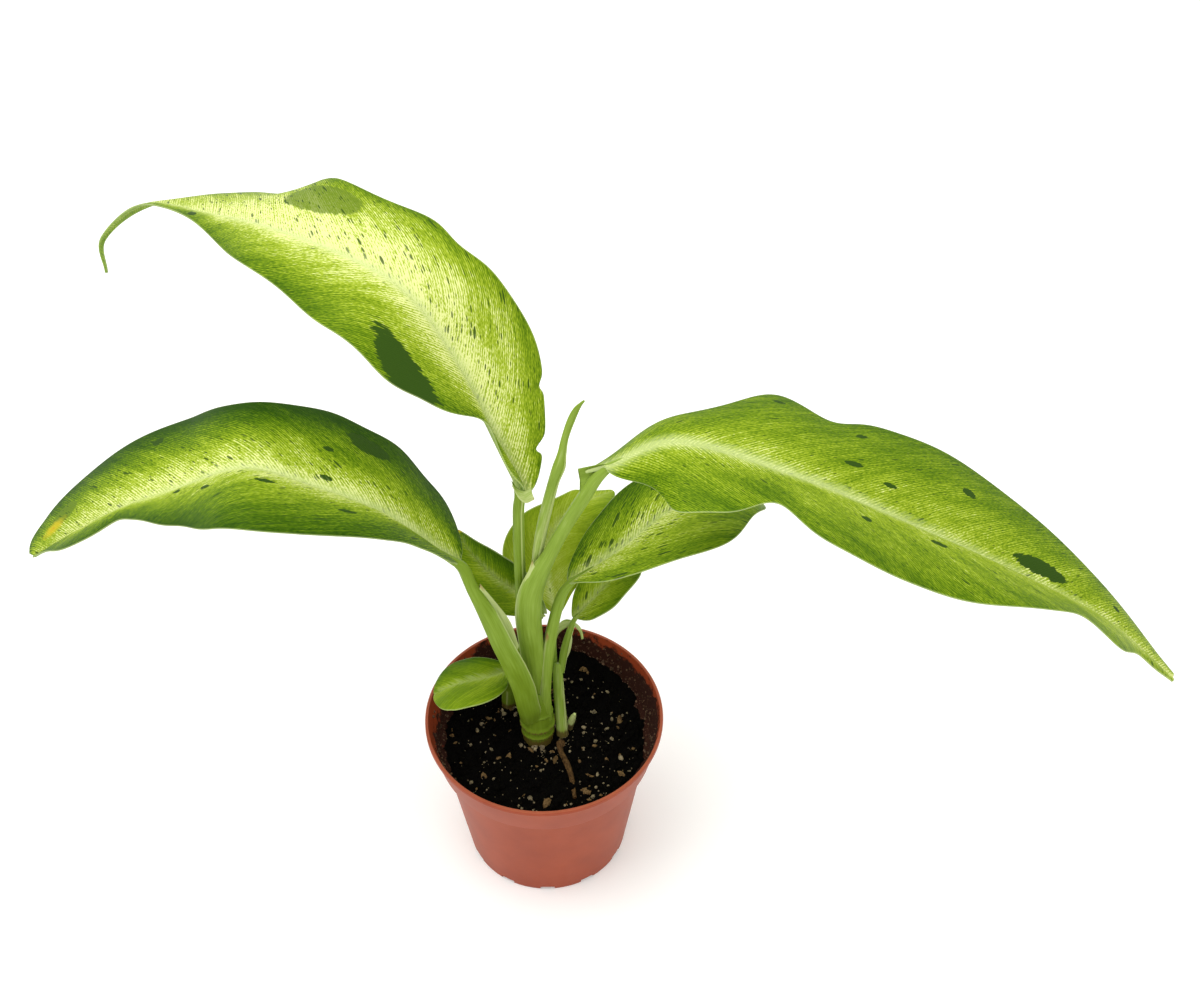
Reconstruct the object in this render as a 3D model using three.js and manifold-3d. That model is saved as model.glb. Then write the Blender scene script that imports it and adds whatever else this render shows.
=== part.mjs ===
// A young dieffenbachia in a round plastic grower pot.
// Millimetres, +Z up, the pot's foot centred on the origin. X runs along the two long side leaves,
// and -Y is the side that the plant shows best.
//
// Every leaf is one grown piece: its sheath and petiole are a stalk, its blade is a thin arched sheet,
// and the two are joined. Stems stand in plain holes in the soil.

import * as THREE from 'three';
import { mergeVertices } from 'three/addons/utils/BufferGeometryUtils.js';
import Module from 'manifold-3d';

const wasm = await Module();
wasm.setup();

// ---------------------------------------------------------------- driving dimensions

const GAP = 0.35;                 // clearance between pieces that touch on the real plant

const POT = {
  height: 83,
  rimRadius: 52.5,                // a 10.5 cm pot
  collarDepth: 17.7,              // from the rim down to the step under the collar
  collarFootRadius: 48.3,
  bodyTopRadius: 45.6,
  footRadius: 36.4,
  wall: 1.3,
  floor: 1.8,
  footRound: 1,                   // rounding of the edge of the foot
  stepHeight: 0.6,                // slope of the step under the collar
  lip: 1.6,                       // how thick the rolled rim is
  beadHeight: 3.2,                // the rim's bead, how far it stands out and how round its edge is
  beadOut: 0.9,
  beadRound: 0.7,
  notches: 12,                    // drain slots around the edge of the foot
  notchWidth: 6.5,
  notchHeight: 2.4,
  notchReach: 6,                  // how far a slot runs in from the wall
  notchTurn: -92,                 // compass angle of the first slot, in degrees
  sides: 48,
};

const SOIL = {
  level: 65.5,                    // top of the soil at the middle of the pot
  radius: 43.9,
  backRise: 5.5,                  // the soil is heaped towards the back wall
  lump: 0.9,                      // height of its lumps
  broadLumps: 0.3,                // how close they stand, in radians per millimetre
  fineLumps: 0.7,
  shoulder: 2,                    // how far below its level it leaves the pot's wall
  rings: 7,
  sides: 32,
  grains: 32,                     // perlite and bark crumbs, fused to the surface
  grainsFrom: 12,                 // how near to the middle and to the edge they lie
  grainsToEdge: 3,
  grainSize: [0.9, 1.9],
  seed: 7,
};

// A stalk is a row of oval sections: [x, y, z, half width, half depth].
// Its side is the compass angle that the width lies along.
const STALKS = {
  stem_main: {
    side: 0,
    sections: [
      [-3, 2, 48, 6.2, 6.2], [-3, 2, 67, 6.8, 6.8], [-3, 3, 74, 7.2, 7.0], [-3, 3, 77, 6.8, 6.7],
      [-3, 4, 84, 6.5, 6.3], [-3, 5, 90, 6.0, 5.8], [-3, 6, 94, 5.0, 5.0],
    ],
  },
  shoot_right: {
    side: 0,
    sections: [
      [8, 2, 50, 2.3, 2.3], [8, 2, 66, 2.6, 2.6], [7.5, 6, 76, 2.5, 2.5], [7, 11, 86, 2.5, 2.4],
      [6.5, 16, 94, 2.4, 2.2],
    ],
  },
  shoot_left: {
    side: 0,
    sections: [
      [-16, 20, 50, 2.8, 2.8], [-16, 20, 66, 3.2, 3.2], [-15.5, 20, 76, 3.2, 3.2],
      [-15, 20.5, 84, 3.0, 3.0], [-14.5, 21, 89, 2.5, 2.5],
    ],
  },
  bud_stump: {
    side: 0,
    sections: [
      [11, 7, 55, 1.1, 1.1], [11, 7, 66, 1.5, 1.5], [11.4, 5.5, 71, 1.5, 1.5],
      [11.8, 4.5, 75, 1.4, 1.4], [12, 4, 77.5, 0.7, 0.7],
    ],
  },
  surface_root: {
    side: 0,
    sections: [
      [7, -2.6, 67.6, 0.7, 0.7], [7, -3.6, 67.4, 1.7, 1.6], [6.7, -5.4, 66.8, 1.5, 1.4],
      [6.8, -8, 66.4, 1.0, 1.0], [9, -14, 66.2, 1.2, 1.1], [10.6, -20, 66.2, 1.0, 0.9],
      [11.5, -27, 66.1, 0.9, 0.8], [12, -33, 65.9, 0.7, 0.7],
    ],
  },
  leaf_spear: {
    side: 20,
    sections: [
      [-3.4, 13.6, 150, 1.3, 1.3], [-2.4, 13.0, 162, 1.8, 1.7], [-0.8, 11.8, 175, 1.9, 1.8],
      [2, 10.8, 190, 2.3, 1.9], [5, 10, 205, 2.5, 1.8], [8.5, 9.5, 219, 2.6, 1.7],
      [11, 9.5, 230, 2.0, 1.6], [12, 10, 240, 1.9, 1.5], [14, 10, 250, 1.9, 1.3],
      [16.5, 9, 257, 1.5, 1.1], [19, 8, 261, 0.8, 0.7],
    ],
  },
  leaf_young_curled: {
    side: 90,
    sections: [
      [5.2, 24.8, 103.8, 0.9, 0.8], [6.8, 26, 108, 1.4, 0.9], [9.5, 27, 111.5, 2.4, 1.0],
      [12.5, 26.8, 113, 1.8, 0.8], [15.5, 25.6, 112.5, 0.8, 0.7], [17.4, 24, 110, 0.7, 0.6],
      [18, 22.6, 107, 0.6, 0.6],
    ],
  },
};

// A leaf has a stalk, from its sheath up to its blade, and a blade. rib is the course of the midrib
// from the blade's base to its tip. Left and right are seen from above, looking along the heading (a
// compass angle). The blade is fullest at widest, as a share of its length, and bow is how strongly
// each half is arched. Each half has its own values:
//   width  half width where the blade is fullest
//   base   how it widens from the base: below 1 it is blunt, above 1 it is drawn out
//   tip    the same towards the tip
//   fold   how many degrees it is lifted above the level across the rib, at base, middle and tip
//   lobe   how far it hangs back past the base
//   wave   height of the ripple along its margin, how many there are, and where one crests
const LEAVES = {
  leaf_upper_left: {
    stalk: {
      side: 0,
      sections: [
        [-3.5, 9.5, 87, 5.0, 4.2], [-4.5, 12.5, 98, 4.2, 3.4], [-6, 14.4, 112, 3.2, 2.8],
        [-7.5, 14.8, 130, 2.6, 2.5], [-8, 14, 150, 2.3, 2.3], [-8, 13, 175, 2.2, 2.2],
        [-7.5, 11.3, 200, 2.2, 2.1], [-6.8, 10.2, 213, 2.1, 1.9], [-9, 13.3, 226, 1.4, 1.2],
      ],
    },
    heading: 135,
    steps: 23,
    widest: 0.32,
    bow: 0.07,
    rib: [
      [-6, 10, 215], [-25, 27, 268], [-50, 41, 296], [-92, 70, 297],
      [-129, 108, 283], [-160, 136, 264], [-183, 144, 240], [-183, 138, 228],
    ],
    left: { width: 37, base: 1.1, tip: 4.6, fold: [70, -14, 60], lobe: 2, wave: [1, 5, 0.1] },
    right: { width: 29, base: 0.5, tip: 2.0, fold: [30, 9, -55], lobe: 4, wave: [2.5, 4, 0.5] },
  },
  leaf_left: {
    stalk: {
      side: -30,
      sections: [
        [-5.4, 0.5, 87, 6.8, 4.6], [-6.2, 0, 95, 7.6, 4.8], [-8.6, -0.5, 107, 7.8, 4.2],
        [-12.4, -1.5, 122, 7.6, 3.8], [-16.6, -2, 137, 7.0, 3.5], [-22.6, 0, 154, 5.4, 3.1],
        [-28, 2, 167, 3.4, 2.7], [-31, 5, 175, 2.6, 2.3], [-37, 6.2, 184.5, 1.6, 1.3],
      ],
    },
    heading: 180,
    steps: 21,
    widest: 0.45,
    bow: 0.08,
    rib: [
      [-32, 7, 178], [-54, 4, 203], [-91, 6, 228], [-129, 17, 221], [-173, 30, 190],
      [-215, 44, 150],
    ],
    left: { width: 34, base: 0.9, tip: 2.8, fold: [36, 4, 55], lobe: 3, wave: [1, 4, 0.1] },
    right: { width: 33, base: 0.4, tip: 0.75, fold: [20, 10, 25], lobe: 3, wave: [1, 4, 0.2] },
  },
  leaf_right: {
    stalk: {
      side: 0,
      sections: [
        [-2.6, 6.6, 94.4, 5.6, 4.6], [-2.4, 7, 104, 6.3, 4.6], [-3.6, 7, 124, 6.3, 4.3],
        [-4.4, 7, 143, 6.1, 3.9], [-3, 7.5, 156, 5.6, 3.5], [0.5, 8, 168, 4.3, 3.0],
        [4.5, 8, 178, 3.0, 2.8], [11, 7, 195, 2.8, 2.7], [18, 5, 212, 2.8, 2.6],
        [24.5, 3.4, 225.5, 2.6, 2.2], [34, 3.2, 235.5, 1.6, 1.3],
      ],
    },
    heading: 0,
    steps: 23,
    widest: 0.42,
    bow: 0.08,
    rib: [
      [27, 3, 230], [55, 1, 247], [100, -7, 237], [140, -12, 217], [182, -17, 193],
      [226, -24, 165], [260, -29, 128],
    ],
    left: { width: 36, base: 0.8, tip: 1.2, fold: [-20, 15, 0], lobe: 13, wave: [4, 3, 0.89] },
    right: { width: 39, base: 0.45, tip: 1.5, fold: [-25, 7, 0], lobe: 2, wave: [9, 2.1, 0.25] },
  },
  leaf_right_low: {
    stalk: {
      side: 30,
      sections: [
        [2, 3.4, 83, 4.8, 4.6], [1.6, 4.4, 95, 4.5, 4.0], [2.8, 6.4, 110, 3.8, 3.2],
        [4.8, 8.6, 124, 3.4, 2.9], [6.4, 10.6, 136, 3.0, 2.5], [9, 13.4, 146, 2.3, 2.1],
        [12.6, 15.6, 151, 2.0, 1.7], [17.5, 17, 155, 1.2, 1.0],
      ],
    },
    heading: 25,
    steps: 15,
    widest: 0.42,
    bow: 0.08,
    rib: [[13, 16, 152], [34, 19, 168], [57, 25, 181], [81, 33, 178], [96, 42, 166]],
    left: { width: 21, base: 0.6, tip: 0.9, fold: [14, 8, -10], lobe: 1, wave: [0.5, 3, 0.1] },
    right: { width: 23, base: 0.85, tip: 0.6, fold: [40, 8, 10], lobe: 1, wave: [0.5, 3, 0.3] },
  },
  leaf_right_small: {
    stalk: {
      side: 0,
      sections: [
        [7.9, 16.4, 93.6, 1.4, 1.3], [10, 20.6, 103, 1.6, 1.3], [12.6, 23.6, 112, 1.3, 1.2],
        [14.8, 25.4, 117, 1.1, 1.0], [18, 27, 120.6, 0.8, 0.7],
      ],
    },
    heading: 45,
    steps: 9,
    widest: 0.45,
    bow: 0.08,
    rib: [[15, 26, 118], [22, 27, 127], [29, 30, 134], [36, 34, 138], [43, 42, 138]],
    left: { width: 10, base: 0.7, tip: 0.8, fold: [20, 26, 30], lobe: 1, wave: [0.3, 3, 0.1] },
    right: { width: 11, base: 0.85, tip: 0.8, fold: [38, 18, 0], lobe: 0, wave: [0.3, 3, 0.3] },
  },
  leaf_back_pale: {
    stalk: {
      side: 0,
      sections: [
        [5.4, 16.2, 93.4, 1.4, 1.4], [5, 24.4, 100.6, 1.5, 1.3], [5.8, 31.5, 105, 1.4, 1.2],
        [7, 37.4, 107.6, 1.2, 1.1], [5.4, 41, 114, 0.8, 0.7],
      ],
    },
    heading: 80,
    steps: 11,
    widest: 0.45,
    bow: 0.07,
    rib: [[7, 38, 108], [4, 42, 122], [3, 44, 140], [8, 45, 157], [19, 47, 166], [33, 55, 162]],
    left: { width: 18, base: 0.75, tip: 1.1, fold: [-20, 12, -10], lobe: 2, wave: [0.4, 3, 0.1] },
    right: { width: 21, base: 0.8, tip: 0.9, fold: [-5, 5, 0], lobe: 2, wave: [0.4, 3, 0.3] },
  },
  leaf_back_dark: {
    stalk: {
      side: 60,
      sections: [
        [-13.2, 22.4, 90, 1.7, 1.4], [-9.5, 25, 99.5, 1.5, 1.4], [-4.5, 27.6, 110, 1.4, 1.2],
        [0.6, 28.8, 117, 1.1, 1.0], [-2.6, 29.6, 122.6, 0.8, 0.7],
      ],
    },
    heading: 125,
    steps: 10,
    widest: 0.5,
    bow: 0.08,
    rib: [[1, 29, 118], [-10, 30, 131], [-20, 29, 144], [-29, 31, 157], [-34, 35, 166]],
    left: { width: 14, base: 0.8, tip: 0.8, fold: [30, 14, 0], lobe: 2, wave: [0.3, 3, 0.1] },
    right: { width: 11, base: 0.7, tip: 0.8, fold: [15, 32, 50], lobe: 2, wave: [0.3, 3, 0.3] },
  },
  leaf_on_rim: {
    stalk: {
      side: 90,
      sections: [
        [-15.6, 19.8, 89.8, 1.6, 1.2], [-17, 18.2, 91.4, 1.3, 1.1], [-20.5, 15, 93.4, 0.9, 0.8],
      ],
    },
    heading: 200,
    steps: 9,
    widest: 0.58,
    bow: 0.09,
    rib: [[-15, 19, 92], [-24, 12, 96], [-34, 9, 97], [-41, 8, 95], [-48, 8, 90]],
    left: { width: 16, base: 1.1, tip: 0.55, fold: [10, 6, 20], lobe: 0, wave: [0.2, 2, 0.1] },
    right: { width: 13, base: 0.75, tip: 0.55, fold: [45, 0, 0], lobe: 0, wave: [0.2, 2, 0.3] },
  },
};

const BLADE = {
  thickness: 0.8,
  ribDepth: 1.5,                  // how far the rib stands out below the blade, at its base
  ribTaper: 0.85,                 // share of that depth that is lost by the tip
  leastWidth: 1,                  // half width at the very base and tip
  lobeReach: 0.12,                // share of the length over which a base lobe fades out
  endCrowding: 0.4,               // how much closer the rows stand towards base and tip
  across: [-1, -0.66, -0.34, -0.09, 0, 0.09, 0.34, 0.66, 1],
  acrossSmall: [-1, -0.56, -0.14, 0, 0.14, 0.56, 1],
  smallBelow: 20,                 // a blade with fewer steps than this along it counts as small
};
const STALK_SIDES = 8;

// The pieces that each leaf's stalk lies against. It is cut back to clear them.
const NEIGHBOURS = {
  leaf_left: ['stem_main'],
  leaf_right_low: ['stem_main', 'leaf_left'],
  leaf_right: ['stem_main', 'leaf_left', 'leaf_right_low'],
  leaf_upper_left: ['stem_main', 'leaf_left', 'leaf_right_low', 'leaf_right'],
  leaf_spear: ['leaf_right', 'leaf_upper_left'],
  leaf_back_pale: ['shoot_right'],
  leaf_right_small: ['shoot_right', 'leaf_back_pale'],
  leaf_young_curled: ['shoot_right', 'leaf_back_pale', 'leaf_right_small'],
  leaf_back_dark: ['shoot_left'],
  leaf_on_rim: ['shoot_left', 'leaf_back_dark'],
};
const IN_SOIL = ['stem_main', 'shoot_right', 'shoot_left', 'bud_stump', 'surface_root'];

const COLOURS = {
  pot: [0xb4543c, 0.55],
  soil: [0x14110e, 0.95],
  stem_main: [0x7f9a3a, 0.5],
  shoot_right: [0x8fae50, 0.5],
  shoot_left: [0x5f7f33, 0.5],
  bud_stump: [0xb9c39a, 0.6],
  surface_root: [0x6a4a26, 0.8],
  leaf_spear: [0xa9c95a, 0.45],
  leaf_young_curled: [0x9cbf55, 0.5],
  leaf: [0x7fa838, 0.42],
};

// ---------------------------------------------------------------- curves

const radians = THREE.MathUtils.degToRad;

function seededRandom(seed) {
  let state = seed;
  return () => {
    state = (state * 16807) % 2147483647;
    return state / 2147483647;
  };
}

// One value on the Catmull-Rom curve through b and c.
function between(a, b, c, d, f) {
  return b + 0.5 * f * (c - a) + f * f * (a - 2.5 * b + 2 * c - 0.5 * d)
    + f ** 3 * (-0.5 * a + 1.5 * b - 1.5 * c + 0.5 * d);
}

// Every column of a table of stations, at t stations from its start.
function rowAt(rows, t) {
  const last = rows.length - 1;
  const i = THREE.MathUtils.clamp(Math.floor(t), 0, last - 1);
  const before = i > 0 ? rows[i - 1] : rows[0].map((v, k) => 2 * v - rows[1][k]);
  const after = i + 2 <= last ? rows[i + 2] : rows[last].map((v, k) => 2 * v - rows[last - 1][k]);
  return rows[i].map((v, k) => between(before[k], v, rows[i + 1][k], after[k], t - i));
}

// The frame on a table's curve at t: its point, tangent, side direction and the normal of the two.
function frameAt(rows, t, sideStart) {
  const step = 0.01;
  const row = rowAt(rows, t);
  const ahead = rowAt(rows, Math.min(t + step, rows.length - 1));
  const behind = rowAt(rows, Math.max(t - step, 0));
  const tangent = new THREE.Vector3(...ahead).sub(new THREE.Vector3(...behind)).normalize();
  const side = sideStart.clone().addScaledVector(tangent, -sideStart.dot(tangent)).normalize();
  const normal = new THREE.Vector3().crossVectors(tangent, side);
  return { row, point: new THREE.Vector3(...row), tangent, side, normal };
}

// ---------------------------------------------------------------- solids

function geometryFrom(points, triangles) {
  const geometry = new THREE.BufferGeometry();
  geometry.setAttribute('position', new THREE.Float32BufferAttribute(points.flatMap((p) => p.toArray()), 3));
  geometry.setIndex(triangles.flat());
  return geometry;
}

function toSolid(geometry) {
  const bare = geometry.clone();
  bare.deleteAttribute('normal');
  bare.deleteAttribute('uv');
  const merged = mergeVertices(bare, 1e-4);
  const index = merged.index.array;
  const triangles = [];
  for (let k = 0; k < index.length; k += 3) {
    const [a, b, c] = index.slice(k, k + 3);
    if (a !== b && b !== c && c !== a) triangles.push(a, b, c);
  }
  return new wasm.Manifold(new wasm.Mesh({
    numProp: 3,
    vertProperties: new Float32Array(merged.attributes.position.array),
    triVerts: new Uint32Array(triangles),
  }));
}

function toGeometry(solid) {
  const mesh = solid.getMesh();
  const geometry = new THREE.BufferGeometry();
  geometry.setAttribute('position', new THREE.BufferAttribute(mesh.vertProperties, 3));
  geometry.setIndex(new THREE.BufferAttribute(mesh.triVerts, 1));
  geometry.computeVertexNormals();
  return geometry;
}

function largestPiece(solid) {
  return solid.decompose().reduce((best, piece) => (piece.volume() > best.volume() ? piece : best));
}

// A closed tube of oval sections. grow fattens it, and lengthens it at both ends, by that much.
function stalkGeometry({ side, sections }, grow = 0) {
  const sideStart = new THREE.Vector3(Math.cos(radians(side)), Math.sin(radians(side)), 0);
  const rings = 2 * (sections.length - 1) + 1;
  const points = [];
  const triangles = [];
  for (let i = 0; i < rings; i++) {
    const { row, point, tangent, side: across, normal } = frameAt(sections, i / 2, sideStart);
    if (i === 0) point.addScaledVector(tangent, -grow);
    if (i === rings - 1) point.addScaledVector(tangent, grow);
    for (let k = 0; k < STALK_SIDES; k++) {
      const turn = (2 * Math.PI * k) / STALK_SIDES;
      points.push(point.clone()
        .addScaledVector(across, (row[3] + grow) * Math.cos(turn))
        .addScaledVector(normal, (row[4] + grow) * Math.sin(turn)));
    }
  }
  const start = points.push(frameAt(sections, 0, sideStart).point) - 1;
  const end = points.push(frameAt(sections, sections.length - 1, sideStart).point) - 1;
  points[start].copy(points[0]).add(points[STALK_SIDES / 2]).multiplyScalar(0.5);
  const lastRing = (rings - 1) * STALK_SIDES;
  points[end].copy(points[lastRing]).add(points[lastRing + STALK_SIDES / 2]).multiplyScalar(0.5);
  for (let k = 0; k < STALK_SIDES; k++) {
    const next = (k + 1) % STALK_SIDES;
    triangles.push([start, next, k], [end, lastRing + k, lastRing + next]);
    for (let i = 0; i < rings - 1; i++) {
      const low = i * STALK_SIDES;
      const high = low + STALK_SIDES;
      triangles.push([low + k, low + next, high + next], [low + k, high + next, high + k]);
    }
  }
  return geometryFrom(points, triangles);
}

// The value at u on the parabola through three values at 0, a half and 1.
function parabola([start, middle, end], u) {
  return start * (1 - u) * (1 - 2 * u) + middle * 4 * u * (1 - u) + end * u * (2 * u - 1);
}

// How wide one half of a blade is at u along it: a quarter sine up to the fullest place and a quarter
// cosine down from it, each raised to its own power.
function halfWidth({ widest }, half, u) {
  const rise = Math.sin((Math.PI / 2) * Math.min(u / widest, 1)) ** half.base;
  const fall = Math.max(0, Math.cos((Math.PI / 2) * Math.max((u - widest) / (1 - widest), 0))) ** half.tip;
  return BLADE.leastWidth + (half.width - BLADE.leastWidth) * rise * fall;
}

// A point in the middle of the blade's thickness, at u along the rib, from 0 to 1, and v across it,
// from -1 at the right margin, over 0 at the rib, to 1 at the left one.
function bladePoint(leaf, midrib, u, v) {
  const heading = radians(leaf.heading);
  const leftStart = new THREE.Vector3(-Math.sin(heading), Math.cos(heading), 0);
  const tangent = midrib.getTangentAt(u);
  const side = leftStart.addScaledVector(tangent, -leftStart.dot(tangent)).normalize();
  const normal = new THREE.Vector3().crossVectors(tangent, side);
  const half = v >= 0 ? leaf.left : leaf.right;
  const out = Math.abs(v);
  const width = halfWidth(leaf, half, u);
  const fold = radians(parabola(half.fold, u));
  const outward = side.multiplyScalar(v >= 0 ? 1 : -1);
  const chord = outward.clone().multiplyScalar(Math.cos(fold)).addScaledVector(normal, Math.sin(fold));
  const up = outward.clone().multiplyScalar(-Math.sin(fold)).addScaledVector(normal, Math.cos(fold));
  const [waveHeight, waveCount, crest] = half.wave;
  const fade = Math.sin(Math.PI * u) * out ** 2;
  const ripple = waveHeight * fade * Math.cos(2 * Math.PI * waveCount * (u - crest));
  const lobe = half.lobe * out ** 1.5 * Math.max(0, 1 - u / BLADE.lobeReach) ** 2;
  return midrib.getPointAt(u)
    .addScaledVector(chord, width * out)
    .addScaledVector(up, 4 * leaf.bow * width * out * (1 - out) + ripple)
    .addScaledVector(tangent, -lobe);
}

// A blade is a grid of points above and below its middle sheet. Both faces are split along the same
// diagonals, so that they stay a blade's thickness apart.
function bladeGeometry(leaf) {
  const { thickness, ribDepth } = BLADE;
  const across = leaf.steps < BLADE.smallBelow ? BLADE.acrossSmall : BLADE.across;
  const rows = leaf.steps + 1;
  const columns = across.length;
  const ribPoints = leaf.rib.map((p) => new THREE.Vector3(...p));
  const midrib = new THREE.CatmullRomCurve3(ribPoints, false, 'catmullrom', 0.5);
  const nearby = 0.003;
  const upper = [];
  const lower = [];
  for (let i = 0; i < rows; i++) {
    const even = i / leaf.steps;
    const u = THREE.MathUtils.lerp(even, (1 - Math.cos(Math.PI * even)) / 2, BLADE.endCrowding);
    for (const v of across) {
      const centre = bladePoint(leaf, midrib, u, v);
      const alongStep = bladePoint(leaf, midrib, Math.min(u + nearby, 1), v)
        .sub(bladePoint(leaf, midrib, Math.max(u - nearby, 0), v));
      const acrossStep = bladePoint(leaf, midrib, u, Math.min(v + nearby, 1))
        .sub(bladePoint(leaf, midrib, u, Math.max(v - nearby, -1)));
      const normal = alongStep.cross(acrossStep).normalize();
      const rib = v === 0 ? ribDepth * (1 - BLADE.ribTaper * u) : 0;
      upper.push(centre.clone().addScaledVector(normal, thickness / 2));
      lower.push(centre.clone().addScaledVector(normal, -thickness / 2 - rib));
    }
  }
  const below = upper.length;
  const triangles = [];
  for (let i = 0; i < leaf.steps; i++) {
    for (let j = 0; j < columns - 1; j++) {
      const a = i * columns + j;
      const [b, c, d] = [a + columns, a + columns + 1, a + 1];
      triangles.push([a, b, c], [a, c, d]);
      triangles.push([below + a, below + c, below + b], [below + a, below + d, below + c]);
    }
    for (const [j, turn] of [[0, false], [columns - 1, true]]) {
      const a = i * columns + j;
      const b = a + columns;
      const quad = [[a, below + a, below + b], [a, below + b, b]];
      triangles.push(...(turn ? quad.map(([p, q, r]) => [p, r, q]) : quad));
    }
  }
  for (let j = 0; j < columns - 1; j++) {
    const a = j;
    const b = leaf.steps * columns + j;
    triangles.push([a, a + 1, below + a + 1], [a, below + a + 1, below + a]);
    triangles.push([b, below + b + 1, b + 1], [b, below + b, below + b + 1]);
  }
  return geometryFrom([...upper, ...lower], triangles);
}

// ---------------------------------------------------------------- pieces

function stalkOf(name) {
  return STALKS[name] ?? LEAVES[name].stalk;
}

function clearOfNeighbours(solid, name) {
  const fattened = (NEIGHBOURS[name] ?? []).map((other) => toSolid(stalkGeometry(stalkOf(other), GAP)));
  return largestPiece(fattened.reduce((rest, other) => rest.subtract(other), solid));
}

function makeStalk(name) {
  return clearOfNeighbours(toSolid(stalkGeometry(STALKS[name])), name);
}

function makeLeaf(name) {
  const leaf = LEAVES[name];
  const stalk = clearOfNeighbours(toSolid(stalkGeometry(leaf.stalk)), name);
  return largestPiece(stalk.add(toSolid(bladeGeometry(leaf))));
}

function makePot() {
  const collarFoot = POT.height - POT.collarDepth;
  const bodyTop = collarFoot - POT.stepHeight;
  const beadFoot = POT.height - POT.beadHeight;
  const outline = [
    [0, 0],
    [POT.footRadius - POT.footRound, 0],
    [POT.footRadius, POT.footRound],
    [POT.bodyTopRadius, bodyTop],
    [POT.collarFootRadius, collarFoot],
    [POT.rimRadius - POT.beadOut, beadFoot],
    [POT.rimRadius, beadFoot + POT.beadOut],
    [POT.rimRadius, POT.height - POT.beadRound],
    [POT.rimRadius - POT.beadRound, POT.height],
    [POT.rimRadius - POT.lip, POT.height],
    [POT.rimRadius - POT.beadOut - POT.wall, beadFoot],
    [POT.collarFootRadius - POT.wall, collarFoot + POT.wall],
    [POT.bodyTopRadius - POT.wall, bodyTop + POT.stepHeight],
    [POT.footRadius - POT.wall, POT.floor],
    [0, POT.floor],
  ];
  const lathe = new THREE.LatheGeometry(outline.map(([r, z]) => new THREE.Vector2(r, z)), POT.sides);
  lathe.rotateX(Math.PI / 2);
  let pot = toSolid(lathe);
  for (let k = 0; k < POT.notches; k++) {
    const slot = new THREE.BoxGeometry(2 * POT.notchReach, POT.notchWidth, 2 * POT.notchHeight);
    slot.translate(POT.footRadius, 0, 0);
    slot.rotateZ(radians(POT.notchTurn + (360 * k) / POT.notches));
    pot = pot.subtract(toSolid(slot));
  }
  return largestPiece(pot);
}

// Height of the soil's surface: level in front, heaped behind, with low lumps all over.
function soilHeight(x, y) {
  const back = Math.max(0, y) / SOIL.radius;
  const broad = Math.sin(SOIL.broadLumps * x + 1) * Math.sin(SOIL.broadLumps * y);
  const fine = Math.sin(SOIL.fineLumps * (x - y));
  return SOIL.level + SOIL.backRise * back ** 2 + (SOIL.lump * (broad + fine)) / 2;
}

function makeSoil() {
  const random = seededRandom(SOIL.seed);
  const floor = POT.floor + GAP;
  const floorRadius = POT.footRadius - POT.wall - GAP;
  const points = [new THREE.Vector3(0, 0, soilHeight(0, 0))];
  const triangles = [];
  const ringAt = (radius, height) => {
    for (let k = 0; k < SOIL.sides; k++) {
      const turn = (2 * Math.PI * k) / SOIL.sides;
      const [x, y] = [radius * Math.cos(turn), radius * Math.sin(turn)];
      points.push(new THREE.Vector3(x, y, height(x, y)));
    }
  };
  for (let i = 1; i <= SOIL.rings; i++) ringAt((SOIL.radius * i) / SOIL.rings, soilHeight);
  ringAt(POT.bodyTopRadius - POT.wall - 2 * GAP, () => SOIL.level - SOIL.shoulder);
  ringAt(floorRadius, () => floor);
  const rings = SOIL.rings + 2;
  const bottom = points.push(new THREE.Vector3(0, 0, floor)) - 1;
  for (let k = 0; k < SOIL.sides; k++) {
    const next = (k + 1) % SOIL.sides;
    triangles.push([0, 1 + k, 1 + next]);
    for (let i = 0; i < rings - 1; i++) {
      const inner = 1 + i * SOIL.sides;
      const outer = inner + SOIL.sides;
      triangles.push([inner + k, outer + k, outer + next], [inner + k, outer + next, inner + next]);
    }
    const edge = 1 + (rings - 1) * SOIL.sides;
    triangles.push([bottom, edge + next, edge + k]);
  }
  let soil = toSolid(geometryFrom(points, triangles));
  for (let k = 0; k < SOIL.grains; k++) {
    const reach = SOIL.radius - SOIL.grainsToEdge - SOIL.grainsFrom;
    const distance = SOIL.grainsFrom + reach * Math.sqrt(random());
    const turn = 2 * Math.PI * random();
    const [x, y] = [distance * Math.cos(turn), distance * Math.sin(turn)];
    const size = THREE.MathUtils.lerp(...SOIL.grainSize, random());
    const grain = new THREE.OctahedronGeometry(size);
    grain.rotateZ(Math.PI * random());
    grain.rotateX(random());
    grain.translate(x, y, soilHeight(x, y) + 0.15 * size);
    soil = soil.add(toSolid(grain));
  }
  for (const name of IN_SOIL) soil = soil.subtract(toSolid(stalkGeometry(STALKS[name], GAP)));
  return largestPiece(soil);
}

// ---------------------------------------------------------------- the plant

function addMesh(group, name, solid) {
  const [color, roughness] = COLOURS[name] ?? COLOURS.leaf;
  const material = new THREE.MeshStandardMaterial({ color, roughness, metalness: 0 });
  const mesh = new THREE.Mesh(toGeometry(solid), material);
  mesh.name = name;
  group.add(mesh);
}

const plant = new THREE.Group();
plant.name = 'potted_dieffenbachia';
addMesh(plant, 'pot', makePot());
addMesh(plant, 'soil', makeSoil());
for (const name of Object.keys(STALKS)) addMesh(plant, name, makeStalk(name));
for (const name of Object.keys(LEAVES)) addMesh(plant, name, makeLeaf(name));

export default plant;
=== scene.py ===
import math

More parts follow.
